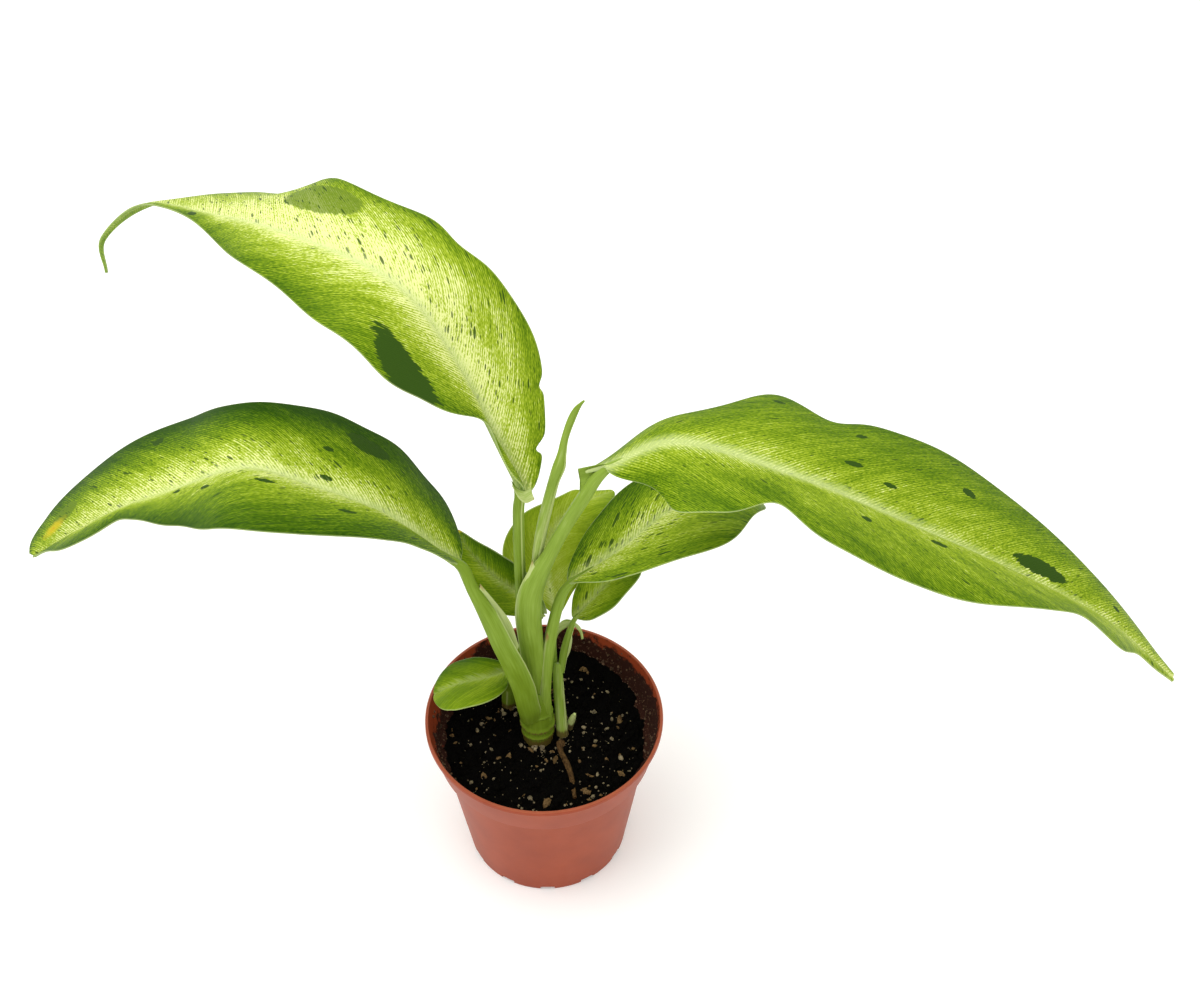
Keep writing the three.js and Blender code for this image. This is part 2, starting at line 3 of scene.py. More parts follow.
import bpy
import numpy as np
from bpy.props import FloatProperty, FloatVectorProperty, IntProperty, PointerProperty
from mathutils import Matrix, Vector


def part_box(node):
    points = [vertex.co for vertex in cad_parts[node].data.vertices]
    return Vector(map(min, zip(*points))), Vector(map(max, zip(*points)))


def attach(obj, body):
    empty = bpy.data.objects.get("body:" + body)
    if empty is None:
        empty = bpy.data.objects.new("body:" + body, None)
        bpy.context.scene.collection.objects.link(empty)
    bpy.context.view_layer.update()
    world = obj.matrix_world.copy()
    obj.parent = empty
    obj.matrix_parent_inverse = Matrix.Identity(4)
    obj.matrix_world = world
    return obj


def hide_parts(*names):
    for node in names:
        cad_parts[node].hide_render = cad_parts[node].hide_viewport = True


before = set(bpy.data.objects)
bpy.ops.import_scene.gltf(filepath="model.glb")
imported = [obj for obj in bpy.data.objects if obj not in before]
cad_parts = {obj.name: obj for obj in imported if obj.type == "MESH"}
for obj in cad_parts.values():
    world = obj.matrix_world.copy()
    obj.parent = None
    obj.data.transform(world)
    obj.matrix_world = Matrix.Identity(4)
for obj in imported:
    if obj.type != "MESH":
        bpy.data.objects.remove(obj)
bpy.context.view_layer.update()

bl_info = {
    "name": "Potted dieffenbachia",
    "version": (1, 0, 0),
    "blender": (4, 5, 0),
    "location": "3D View > Sidebar > Plant",
    "description": "Dresses a young dieffenbachia in its grower pot, on a pale studio floor",
    "category": "Add Mesh",
}

# Blender works in metres. The plant's own tables are in millimetres, +Z up, from the middle of the
# pot's foot, and a mesh is scaled by MM when it is made.
MM = 0.001
POT_LOW, POT_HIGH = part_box("pot")

# ------------------------------------------------------------------------------------ the plant

# The pot's outline that isn't among its settings: radii, heights and widths in mm.
POT = {
    "collar_depth": 17.7,       # from the rim down to the step under the collar
    "collar_foot": 48.3,        # radius of the collar's lower edge
    "body_top": 45.6,           # radius of the wall under the step
    "foot": 36.4,               # radius of the foot
    "floor": 1.8,               # top of the floor in the middle
    "floor_rise": 2,            # how much higher it lies over the drain slots
    "axis": 0.4,                # radius at which the outline starts and ends
    "step": 0.6,                # slope of the step under the collar
    "lip": 1.3,                 # thickness of the rolled rim
    "bead_height": 3.2,         # the rim's bead, and how far it stands out
    "bead_out": 0.9,
    "notches": 12,              # drain slots around the foot
    "notch_width": 6.5,
    "notch_height": 2.4,
    "notch_reach": 6.0,         # how far a slot runs in from the wall
    "notch_end": 0.02,          # half the step at a slot's inner end
    "notch_turn": -92.0,        # compass angle of the first slot
    "notch_side": 0.03,         # half the step at a slot's sides, in degrees
    "flare": 0.34,              # how much wider the wall is at the slots' roof
    "sides": 240,
}

# Radius of the inside of the collar at these heights.
WALL_HEIGHTS = [64, 65.3, 66.6, 79.8, 83]
WALL_RADII = [44.0, 44.3, 47.0, 50.3, 50.9]

SOIL = {
    "back_rise": 5.5,           # the soil is heaped towards the back wall
    "lump": 0.9,                # height of its lumps
    "broad_lumps": 0.3,         # how close they stand, in radians per millimetre
    "fine_lumps": 0.7,
    "edge": 44,                 # radius near which it meets the collar
    "skirt": (42, 60),          # radius and height of the body under the surface, and of its foot
    "foot": (33, 5.0),
    "wall_gap": 0.1,            # clearance from the collar, for the surface and for clinging crumbs
    "cling_gap": 0.12,
    "clods": [(5.5, 1.1), (2.1, 0.9), (0.9, 0.5)],   # pitch and height of the crumbly relief
    "crumbs_to": 42.4,          # how far from the axis loose crumbs lie
    "clusters": [               # grains that lie together: x, y, spread and how many
        (-3, -6, 2.5, 34), (-17, 15, 3, 16), (9, -3, 2.5, 22), (26, 2, 4, 10), (-28, -14, 3, 8),
    ],
    "bark": 70,                 # how many crumbs of bark lie on it, and how many cling to the collar
    "clinging": 520,
    "cling_from": 46,           # the radius whose soil they start from, the angles and the height
    "cling_turn": (-20, 215),
    "cling_rise": 12.5,
    "cling_power": 2.2,         # how much rarer they get upwards
    "grain_lift": 0.15,         # how far grains and bark stand out of the soil
    "bark_lift": 0.2,
    "seed": 3,
}

# Loose crumbs: the least radius and how much more there is, in mm, the power that makes large ones
# rare, the greatest stretch, the seed of their shapes, and how flat they lie.
CRUMBS = {
    "soil_clods": (0.35, 0.9, 2.5, 1.6, 21, 1.0),
    "soil_grains": (0.14, 0.66, 4, 2.1, 22, 1.0),
    "soil_bark": (0.4, 0.8, 2, 2.6, 23, 0.45),
    "soil_on_wall": (0.14, 0.42, 3, 1.4, 24, 1.0),
}

# A stalk is a row of oval sections: x, y, z, half width, half depth. side is the compass angle that
# the width lies along. A margin is the free edge of a sheath: the angles around the stalk where it
# starts and ends, in degrees, how far up it reaches (a share of the length), how high it stands, and
# to which side of it the overlap lies (1 towards growing angles). A crease is where the sheath's back
# part starts, set back from the front and darkened by painted shade: its angles, how far up it reaches and
# how deep it is.
# flutes are how many lengthwise ribs there are and how high. rings are leaf scars: the height, how
# far each stands out and its half width. tint is the shade at foot and top, paler as it grows, and
# dry is how brown the tip of the free edge is.
PLAIN_STALK = {"side": 0, "margin": [270, 270, 0, 0, 1], "flutes": [7, 0.02], "rings": [], "dry": 0}
STALKS = {
    "stem_main": {
        "sections": [
            [-3, 2, 56, 6.2, 6.2], [-3, 2, 67, 6.8, 6.8], [-3, 3, 74, 7.2, 7.0], [-3, 3, 77, 6.8, 6.7],
            [-3, 4, 84, 6.5, 6.3], [-3, 5, 90, 6.0, 5.8], [-3, 6, 94, 5.0, 5.0],
        ],
        "margin": [90, 90, 0, 0, 1], "rings": [[70, 0.5, 0.5], [75.5, 0.9, 0.6], [82, 0.5, 0.5]],
        "flutes": [17, 0.006], "tint": [-0.35, 0.0],
    },
    "shoot_right": {
        "sections": [
            [8, 2, 56, 2.3, 2.3], [7.8, 2, 66, 2.6, 2.6], [7.2, 6, 76, 2.4, 2.4], [6.7, 11, 86, 2.3, 2.2],
            [6.5, 15, 93, 2.2, 2.0], [6.6, 17.4, 97, 1.3, 1.2],
        ],
        "margin": [300, 330, 0.9, 0.25, 1], "tint": [0.6, 0.45],
    },
    "shoot_left": {
        "sections": [
            [-16, 20, 56, 2.8, 2.8], [-16, 20, 66, 3.2, 3.2], [-15.5, 20, 76, 3.2, 3.2],
            [-15, 20.5, 84, 3.0, 3.0], [-14.5, 21, 89, 2.5, 2.5],
        ],
        "margin": [250, 250, 0.8, 0.2, 1], "tint": [-0.3, -0.3],
    },
    "bud_stump": {
        "sections": [
            [11, 6.6, 60, 1.2, 1.2], [11.2, 6, 66, 1.6, 1.6], [11.8, 5.3, 70, 1.5, 1.5],
            [12.8, 4.8, 74, 1.3, 1.3], [13.6, 4.4, 77, 0.6, 0.6],
        ],
        "margin": [250, 290, 0.8, 0.2, 1], "flutes": [5, 0.05], "tint": [1.0, 1.2],
    },
    "surface_root": {
        "sections": [
            [7, -2.6, 67.6, 0.7, 0.7], [7, -3.6, 67.4, 1.7, 1.6], [6.7, -5.4, 66.8, 1.5, 1.4],
            [6.8, -8, 66.4, 1.0, 1.0], [9, -14, 66.2, 1.2, 1.1], [10.6, -20, 66.2, 1.0, 0.9],
            [11.5, -27, 66.1, 0.9, 0.8], [12, -33, 65.9, 0.7, 0.7],
        ],
        "margin": [90, 90, 0, 0, 1], "flutes": [6, 0.16], "tint": [0, 0],
    },
    "leaf_spear": {
        "side": 20,
        "sections": [
            [-3, 13.6, 146, 1.3, 1.3], [-1.6, 13.0, 162, 1.8, 1.7], [-0.4, 11.8, 175, 2.0, 1.8],
            [1.6, 10.8, 190, 2.2, 1.8], [4.2, 10, 205, 2.2, 1.7], [6.8, 9.5, 218, 2.1, 1.6],
            [9, 9.5, 226, 2.5, 1.6], [10.3, 9.8, 233, 1.6, 1.2], [11.6, 10, 241, 1.2, 1.0],
            [14, 10, 250, 1.35, 0.9], [16.4, 9, 257, 1.3, 0.7], [19, 8, 261.5, 0.5, 0.4],
        ],
        "margin": [235, 330, 1.0, 0.45, 1], "flutes": [9, 0.02], "tint": [0.9, 0.3],
    },
    "leaf_young_curled": {
        "side": 90,
        "sections": [
            [5.2, 24.8, 102, 0.9, 0.8], [6.8, 26, 108, 1.4, 0.9], [9.5, 27, 111.5, 2.4, 1.0],
            [12.5, 26.8, 113, 1.8, 0.8], [15.5, 25.6, 112.5, 0.8, 0.7], [17.4, 24, 110, 0.7, 0.6],
            [18, 22.6, 107, 0.5, 0.5],
        ],
        "margin": [60, 100, 0.9, 0.3, 1], "flutes": [5, 0.05], "tint": [0.6, 0.7],
    },
    "leaf_upper_left": {
        "sections": [
            [-3.5, 9.5, 87, 5.0, 4.2], [-4.5, 12.5, 98, 4.2, 3.4], [-6, 14.4, 112, 3.2, 2.8],
            [-7.5, 14.8, 130, 2.6, 2.5], [-8, 14, 150, 2.3, 2.3], [-8, 13, 175, 2.2, 2.2],
            [-7.5, 11.3, 200, 2.2, 2.1], [-6.8, 10.2, 212, 1.9, 1.7], [-9.4, 14, 224, 1.0, 0.8],
            [-14, 18.6, 236, 0.5, 0.4],
        ],
        "margin": [300, 290, 1.0, 0.3, 1], "flutes": [13, 0.02], "tint": [0.0, 0.1],
    },
    "leaf_left": {
        "side": -30,
        "sections": [
            [-6.6, 1.0, 82.5, 4.6, 4.6], [-7.2, 0, 89, 5.1, 4.8], [-8.2, -0.4, 95, 5.4, 4.6],
            [-10, -0.7, 107, 6.0, 4.2], [-13.6, -1.5, 122, 6.3, 3.8], [-17.9, -2, 137, 5.8, 3.4],
            [-23.2, 0, 154, 4.8, 3.0], [-28.2, 2, 167, 3.2, 2.6], [-31, 5, 175, 2.6, 2.3],
            [-37, 6.4, 180.5, 1.6, 1.2], [-46, 6, 190.5, 0.8, 0.6],
        ],
        "margin": [18, 6, 0.72, 0.9, -1], "crease": [255, 262, 0.85, 1.4], "flutes": [23, 0.008],
        "tint": [-0.12, 0.12],
    },
    "leaf_right": {
        "sections": [
            [-3, 6.6, 90, 5.2, 4.6], [-3.3, 7, 104, 5.3, 4.6], [-4.5, 7, 124, 5.1, 4.2],
            [-5.1, 7, 143, 5.3, 3.8], [-3.6, 7.5, 156, 5.0, 3.4], [0.2, 8, 168, 4.0, 3.0],
            [4.5, 8, 178, 3.0, 2.8], [11, 7, 195, 2.8, 2.7], [18, 5, 212, 2.8, 2.6],
            [24.5, 4, 226, 2.5, 2.0], [33, 3.4, 234.2, 1.4, 1.0], [46, 1.4, 240.6, 0.7, 0.5],
        ],
        "margin": [215, 150, 0.6, 0.5, 1], "flutes": [19, 0.012], "tint": [0.15, 0.5],
    },
    "leaf_right_low": {
        "side": 30,
        "sections": [
            [0.4, 2.6, 79, 3.8, 3.6], [0.8, 3.0, 87, 3.2, 3.0], [1.0, 3.6, 95, 2.7, 2.7],
            [2.1, 5.6, 110, 2.5, 2.5], [3.7, 8.0, 124, 2.6, 2.5], [6.1, 10.4, 136, 2.7, 2.4],
            [9, 13.4, 146, 2.3, 2.1], [12.6, 15.6, 151, 2.0, 1.7], [17.5, 17, 155, 1.2, 1.0],
            [24, 18, 160, 0.8, 0.6],
        ],
        "margin": [182, 196, 0.66, 0.5, 1], "crease": [285, 300, 0.75, 0.7], "dry": 1,
        "flutes": [13, 0.015], "tint": [0.2, 0.3],
    },
    "leaf_right_small": {
        "sections": [
            [7.9, 16.4, 92, 1.4, 1.3], [10, 20.6, 103, 1.6, 1.3], [12.6, 23.6, 112, 1.3, 1.2],
            [14.8, 25.4, 117, 1.1, 1.0], [18, 27, 120.6, 0.8, 0.7], [21, 27, 124.6, 0.5, 0.4],
        ],
        "margin": [330, 300, 0.7, 0.35, 1], "tint": [0.35, 0.35],
    },
    "leaf_back_pale": {
        "sections": [
            [5.4, 16.2, 92, 1.4, 1.4], [5, 24.4, 100.6, 1.5, 1.3], [5.8, 31.5, 105, 1.4, 1.2],
            [7, 37.4, 107.6, 1.2, 1.1], [5.4, 41, 114, 0.8, 0.7], [4.6, 41.6, 120, 0.5, 0.4],
        ],
        "tint": [0.2, 0.2],
    },
    "leaf_back_dark": {
        "side": 60,
        "sections": [
            [-13.2, 22.4, 88, 1.7, 1.4], [-9.5, 25, 99.5, 1.5, 1.4], [-4.5, 27.6, 110, 1.4, 1.2],
            [0.6, 28.8, 117, 1.1, 1.0], [-2.6, 29.6, 122.6, 0.8, 0.7], [-6, 29.6, 126.4, 0.5, 0.4],
        ],
        "tint": [0, 0],
    },
    "leaf_on_rim": {
        "side": 90,
        "sections": [
            [-15.6, 19.8, 88.6, 1.6, 1.2], [-17, 18.2, 91.4, 1.3, 1.1], [-20.5, 15, 93.4, 0.9, 0.8],
            [-24, 12, 95.2, 0.5, 0.4],
        ],
        "flutes": [5, 0.02], "tint": [0.1, 0.2],
    },
}

# Thin free parts: a sheath's free tip and wing, and the curled base of a blade. Each lies between its
# fixed edge and its free edge, two rows of x, y, z points, and bulges between them. tint is at its
# foot and its top, and age is how brown the top of the free edge is.
FLAPS = {
    "leaf_left_sheath_tip": {
        "node": "leaf_left", "bulge": 0.5, "tint": [0.5, 0.9], "age": 0.62,
        "fixed": [[-12.6, 0.4, 124], [-16.4, 0, 138], [-20.6, 0.4, 152], [-25, 1.4, 165]],
        "free": [[-9.8, 2.4, 128], [-12.8, 2.8, 143], [-18, 2.4, 155.5], [-24.2, 1.8, 168.5]],
    },
    "leaf_right_sheath_strip": {
        "node": "leaf_right", "bulge": 0.6, "tint": [0.7, 1.2], "age": 0.6,
        "fixed": [[-7.6, 4.4, 140], [-4.8, 4.6, 152], [-2.4, 5.6, 163], [-0.8, 6.6, 171]],
        "free": [[-10.4, 5.6, 140], [-9.2, 5.6, 152], [-6, 6.6, 164], [-2.6, 8, 175]],
    },
    "leaf_upper_left_base_flap": {
        "node": "leaf_upper_left", "bulge": 0.9, "tint": [0.5, 0.8], "age": 0.5,
        "fixed": [[-9.6, 7, 222], [-7.6, 6, 219], [-4.8, 5.4, 217.5], [-2, 5.6, 219]],
        "free": [[-9.2, 6, 219.5], [-7, 4.8, 214.4], [-4.2, 4.4, 212], [-0.8, 4.4, 213.8]],
    },
    "leaf_right_base_lobe": {
        "node": "leaf_right", "bulge": -1.4, "tint": [-0.2, 0.3], "age": 0.0,
        "fixed": [[30, 3.4, 232.5], [25, 4.4, 231.5], [20.5, 5.4, 229.6], [16.4, 6.4, 227.6]],
        "free": [[28, 2.4, 228.5], [23.4, 2.8, 224], [19.4, 3.6, 219.6], [17, 4.6, 215.6]],
    },
    "leaf_right_small_wing": {
        "node": "leaf_right_small", "bulge": 0.3, "tint": [0.3, 0.8], "age": 0.0,
        "fixed": [[8.2, 17.6, 95], [10, 20.6, 101.5], [11.6, 22.6, 108], [12.8, 23.8, 112]],
        "free": [[9.4, 17.2, 96], [12.4, 20, 102], [13.4, 21.8, 107.5], [13, 23.4, 112.4]],
    },
}

# rib is the course of a blade's midrib from its base to its tip. Left and right are seen from above,
# looking along the heading. The blade is fullest at widest, as a share of its length, and bow is how
# strongly each half is arched. A half has its half width, how it widens from the base and towards
# the tip, its lift in degrees at base, middle and tip, how far it hangs back past the base, the
# height, number and first crest of its waves, and its bites: where, how deep and how long, as shares
# (a bite less than nothing is a swell). end is the half width at the very tip, and how far its left
# and its right corner reach past the rib.
# tone runs from 0, the deepest green, to 1, cream: centre is beside the rib and edge at the margin,
# at base, middle and tip, and spread is the power of |v| that leads from one to the other. patches
# are dark flecks: along, across, half length and half width in mm, how solid, and how much they lean
# out ahead. olive ones are fainter, and a stain is yellow and orange. rib_band is the half width of
# the pale rib at its base, lines is how strongly the veins show, and specks how large the dashes are.
# rows and columns are how finely the blade is divided.
LEAST_WIDTH = 0.7               # half width at the very base
PLAIN_LEAF = {"end": [LEAST_WIDTH, 0, 0], "patches": [], "olive": [], "stain": []}
LEAVES = {
    "leaf_upper_left": {
        "heading": 135, "rows": 300, "columns": 96, "widest": 0.32, "bow": 0.07,
        "rib": [
            [-6, 10, 215], [-29, 27, 268], [-51, 41, 295], [-92, 70, 297],
            [-129, 108, 280], [-160, 136, 265], [-183, 144, 242], [-183, 138, 228],
        ],
        "left": {
            "width": 37, "base": 0.65, "tip": 3.6, "fold": [70, -14, 60], "lobe": 2, "wave": [1, 5, 0.1],
            "bites": [
                (0.045, -0.5, 0.025), (0.1, 0.85, 0.055), (0.19, 0.15, 0.045), (0.3, 0.1, 0.07),
                (0.45, 0.2, 0.09), (0.66, 0.2, 0.17),
            ],
            "edge": [0.5, 0.28, 0.5], "spread": 0.9, "specks": 0.5,
        },
        "right": {
            "width": 29.5, "base": 0.5, "tip": 1.2, "fold": [30, 9, -50], "lobe": 4, "wave": [2.5, 4, 0.5],
            "bites": [
                (0.115, 0.07, 0.008), (0.045, 0.22, 0.007), (0.06, -0.05, 0.03), (0.15, -0.2, 0.09),
                (0.3, 0.09, 0.025), (0.59, -0.33, 0.13), (0.7, -0.3, 0.05), (0.76, -0.2, 0.03),
                (0.87, 0.62, 0.11),
            ],
            "edge": [0.5, 0.38, 0.45], "spread": 2.0, "specks": 1.1,
        },
        "centre": [0.8, 1.02, 0.5], "rib_band": 2.6, "lines": 1.0,
        "patches": [(0.24, 0.8, 20, 6.5, 1.0, -0.25), (0.70, 0.55, 3.5, 1.8, 0.8, 0)],
        "olive": [(0.49, -0.6, 17, 6, 1.3, -0.1)],
    },
    "leaf_left": {
        "heading": 180, "rows": 260, "columns": 96, "widest": 0.45, "bow": 0.08,
        "rib": [
            [-34, 7, 176.5], [-60, 4, 209.5], [-86, 6, 224], [-112, 10.5, 230.5], [-140, 18, 214],
            [-173, 28, 191], [-215, 44, 150],
        ],
        "left": {
            "width": 33, "base": 0.9, "tip": 1.6, "fold": [36, 4, 36], "lobe": 3, "wave": [0.3, 4, 0.1],
            "bites": [
                (0.04, -0.5, 0.03), (0.15, 0.08, 0.03), (0.27, -0.08, 0.06), (0.37, -0.16, 0.06),
                (0.52, 0.15, 0.06), (0.665, 0.52, 0.12), (0.7, 0.24, 0.035), (0.87, -0.55, 0.08),
            ],
            "edge": [0.3, 0.02, 0.3], "spread": 1.0, "specks": 1.0,
        },
        "right": {
            "width": 33, "base": 0.4, "tip": 0.5, "fold": [20, 10, 25], "lobe": 3, "wave": [0.6, 4, 0.2],
            "bites": [
                (0.05, -0.21, 0.05), (0.17, -0.21, 0.08), (0.31, -0.17, 0.07), (0.45, 0.08, 0.06),
                (0.62, -0.03, 0.08),
            ],
            "edge": [0.02, -0.2, 0.12], "spread": 1.3, "specks": 1.0,
        },
        "centre": [0.74, 0.95, 0.8], "rib_band": 2.6, "end": [2.5, -2.0, 4.5], "lines": 1.0,
        "patches": [
            (0.235, -0.72, 10, 3.8, 1.0, 0.1), (0.3, -0.45, 2.6, 1.3, 0.9, 0),
            (0.29, -0.12, 3.2, 1.2, 0.9, 0),
            (0.38, 0.25, 4, 1.3, 0.9, 0), (0.48, 0.32, 3, 1.3, 0.9, 0), (0.56, 0.2, 2.5, 1.2, 0.9, 0),
            (0.25, 0.5, 4, 1.1, 0.9, 0), (0.63, -0.74, 3.5, 2, 0.9, 0),
        ],
        "olive": [(0.88, -0.5, 8, 2.4, 1.3, 0)], "stain": [(0.92, -0.38, 12, 2.8, 0.6, 0)],
    },
    "leaf_right": {
        "heading": 0, "rows": 300, "columns": 96, "widest": 0.42, "bow": 0.08,
        "rib": [
            [27, 3, 232], [55, 0, 246], [100, -10, 235], [140, -16, 216], [182, -20, 192.5],
            [227, -25, 164], [263, -28, 127],
        ],
        "left": {
            "width": 40, "base": 0.7, "tip": 0.95, "fold": [-20, 15, 0], "lobe": 9,
            "wave": [0.5, 3, 0.45],
            "bites": [
                (0.1, 0.17, 0.06), (0.225, -0.25, 0.055), (0.33, 0.1, 0.04), (0.52, -0.04, 0.08),
                (0.83, 0.2, 0.12),
            ],
            "edge": [0.4, 0.3, 0.45], "spread": 0.8, "specks": 0.7,
        },
        "right": {
            "width": 35, "base": 0.62, "tip": 1.5, "fold": [-25, 7, 0], "lobe": 0,
            "wave": [5, 2.1, 0.25],
            "bites": [
                (0.115, -0.4, 0.05), (0.2, -0.12, 0.06), (0.255, 0.34, 0.04), (0.47, 0.08, 0.07),
                (0.74, 0.12, 0.04), (0.82, -0.6, 0.05), (0.905, 0.25, 0.03),
            ],
            "edge": [0.35, 0.38, 0.5], "spread": 0.8, "specks": 0.8,
        },
        "centre": [0.78, 0.76, 0.9], "rib_band": 2.6, "end": [3.5, 2.0, -2.0], "lines": 0.9,
        "patches": [
            (0.685, 0.2, 14, 3.4, 1.0, 0.05), (0.36, 0.38, 4.5, 1.3, 0.9, 0), (0.42, 0.28, 4, 1.1, 0.9, 0),
            (0.55, 0.6, 4, 2, 0.9, 0), (0.5, -0.28, 4.5, 1.6, 0.9, 0), (0.38, -0.38, 2.6, 1.6, 0.9, 0),
            (0.37, 0.78, 3.2, 1.1, 0.9, 0), (0.24, 0.85, 3, 1.1, 0.9, 0), (0.84, 0.5, 2.6, 1.1, 0.9, 0),
        ],
    },
    "leaf_right_low": {
        "heading": 25, "rows": 180, "columns": 80, "widest": 0.42, "bow": 0.08,
        "rib": [[13, 16, 152], [34, 19, 168], [57, 27, 183], [81, 37, 181], [96, 43, 167]],
        "left": {
            "width": 21, "base": 0.6, "tip": 0.9, "fold": [14, 8, -10], "lobe": 1,
            "wave": [0.5, 3, 0.1], "edge": [0.15, 0.1, 0.15], "spread": 1.3, "specks": 1.5,
        },
        "right": {
            "width": 23, "base": 0.85, "tip": 0.6, "fold": [40, 8, 10], "lobe": 1,
            "wave": [0.5, 3, 0.3], "bites": [(0.62, -0.45, 0.16)],
            "edge": [0.5, 0.4, 0.3], "spread": 1.2, "specks": 1.3,
        },
        "centre": [0.84, 0.84, 0.65], "rib_band": 1.9, "lines": 0.9,
        "patches": [(0.52, 0.62, 2.6, 2.6, 1.0, 0)],
    },
    "leaf_right_small": {
        "heading": 45, "rows": 110, "columns": 56, "widest": 0.45, "bow": 0.08,
        "rib": [[15, 26, 118], [22, 27, 127], [29, 30, 134], [36, 34, 138], [43, 42, 138]],
        "left": {
            "width": 10, "base": 0.7, "tip": 0.8, "fold": [20, 26, 30], "lobe": 1,
            "wave": [0.3, 3, 0.1], "edge": [0.45, 0.4, 0.35], "spread": 1, "specks": 1.0,
        },
        "right": {
            "width": 12.5, "base": 0.85, "tip": 0.7, "fold": [38, 18, 0], "lobe": 0,
            "wave": [0.3, 3, 0.3], "edge": [0.55, 0.4, 0.35], "spread": 1, "specks": 0.7,
        },
        "centre": [0.8, 0.8, 0.6], "rib_band": 1.2, "lines": 0.5,
    },
    "leaf_back_pale": {
        "heading": 80, "rows": 130, "columns": 64, "widest": 0.45, "bow": 0.07,
        "rib": [[7, 38, 108], [4, 42, 122], [3, 44, 140], [8, 45, 157], [19, 47, 167], [33, 55, 166]],
        "left": {
            "width": 19, "base": 0.75, "tip": 0.8, "fold": [-20, 12, -10], "lobe": 2,
            "wave": [0.4, 3, 0.1], "bites": [(0.78, 0.42, 0.16)],
            "edge": [0.65, 0.62, 0.55], "spread": 1, "specks": 0.3,
        },
        "right": {
            "width": 21, "base": 0.8, "tip": 0.65, "fold": [-5, 5, 0], "lobe": 2,
            "wave": [0.4, 3, 0.3], "edge": [0.65, 0.6, 0.5], "spread": 1, "specks": 0.3,
        },
        "centre": [0.86, 0.82, 0.7], "rib_band": 1.0, "lines": 0.3,
    },
    "leaf_back_dark": {
        "heading": 125, "rows": 110, "columns": 56, "widest": 0.5, "bow": 0.08,
        "rib": [[1, 29, 118], [-10, 30, 131], [-20, 29, 144], [-29, 31, 157], [-34, 35, 166]],
        "left": {
            "width": 14, "base": 0.8, "tip": 0.8, "fold": [30, 14, 0], "lobe": 2,
            "wave": [0.3, 3, 0.1], "edge": [0.5, 0.4, 0.3], "spread": 0.8, "specks": 0.2,
        },
        "right": {
            "width": 11, "base": 0.7, "tip": 0.8, "fold": [15, 32, 50], "lobe": 2,
            "wave": [0.3, 3, 0.3], "edge": [0.15, 0.1, 0.1], "spread": 0.7, "specks": 0.2,
        },
        "centre": [0.85, 0.8, 0.6], "rib_band": 1.5, "lines": 0.5,
        "stain": [(1.0, 0, 1.6, 1.6, 0.8, 0)],
    },
    "leaf_on_rim": {
        "heading": 200, "rows": 110, "columns": 56, "widest": 0.58, "bow": 0.09,
        "rib": [[-15, 19, 92], [-24, 12, 96], [-34, 9, 97], [-41, 8, 95], [-48, 8, 90]],
        "left": {
            "width": 16, "base": 1.1, "tip": 0.55, "fold": [10, 6, 20], "lobe": 0,
            "wave": [0.2, 2, 0.1], "edge": [0.5, 0.45, 0.5], "spread": 0.8, "specks": 0.0,
        },
        "right": {
            "width": 13, "base": 0.75, "tip": 0.55, "fold": [45, 0, 0], "lobe": 0,
            "wave": [0.2, 2, 0.3], "edge": [0.2, 0.2, 0.3], "spread": 0.8, "specks": 0.0,
        },
        "centre": [0.8, 0.72, 0.6], "rib_band": 1.0, "lines": 0.3,
    },
}

LOBE_REACH = 0.12               # share of a blade over which a base lobe fades out
LOBE_POWER = 1.5                # how much of a lobe's or corner's reach lies near the margin
TIP_REACH = (0.75, 0.95)        # from where the width and the corners of the tip count
END_CROWDING = 0.4              # how much closer a blade's rows lie at both ends
RIB_SAMPLES = 2401              # points of a rib by which its length is measured
RIB_CROWDING = 1.25             # the power that draws its columns towards the rib
LAST_COLUMN = 0.992             # where a column beside the margin is added
KEEL_DEPTH = 1.5                # the keel below the rib, and how much less it is at the tip
KEEL_TAPER = 0.85
KEEL_WIDTH = (2.2, 0.8, 0.3)    # at the base, how much less at the tip, and at least
CHANNEL_DEPTH = 0.35            # the channel above the rib
CHANNEL_TAPER = 0.7             # how much less it is at the tip
CHANNEL_SHARE = 0.7             # its width as a share of the keel's
EDGE_BODY = 0.05                # half the thickness at the margin
VEIN_LEAN = 1.1                 # how far a lateral vein leads forward, per mm from the rib
VEIN_SWEEP = 0.7                # how much more it does so towards the margin
BAND_TAPER = 1.6                # how fast the pale rib narrows
BARE_BASE = (0.02, 0.1)         # shares of a blade between which its dashes set in

TANGENT_STEP = 0.01             # stations on both sides between which a tangent is taken
SECTION_ROWS = 14               # rows of a stalk from one section to the next
STALK_COLUMNS = 72              # columns around it
SEAM = 0.9975                   # how far round the last column before a free edge lies
EDGE_FADE = 0.12                # share of a stalk over which its free edge ends
EDGE_POWER = 1.5                # how fast the surface sinks back behind it
CREASE_TURN = (14, 60, 150)     # degrees over which a crease sets in and fades, and where it ends
CREASE_FADE = 0.2               # share of a stalk over which it runs out upwards
CREASE_PAINTED_SHADE = 0.45             # painted shade: how much darker a stalk is in it, where the back part of the sheath lies in shade
FLUTE_SWAY = (1.3, 3)           # how unevenly flutes stand, and how often that comes round
FLUTE_START = 0.05              # share of a stalk over which they set in
SOIL_LINE = (66.5, 73)          # heights between which the brown of a stalk's foot ends
RING_SHADE = 0.7                # how brown a leaf scar is, per mm that it stands out
LIP_END = 9                     # how far off its free edge is where there is none, in mm
DRY_REACH = (0.22, 0.06)        # shares below a free edge's tip between which it dries

FLOOR_REACH = 4                 # from the middle of the floor to its sides, in metres
KEY_PLACE = (-0.5, -0.1, 1.5)   # where the key light hangs and where it points, in metres
KEY_AIM = (0, 0, 0.15)

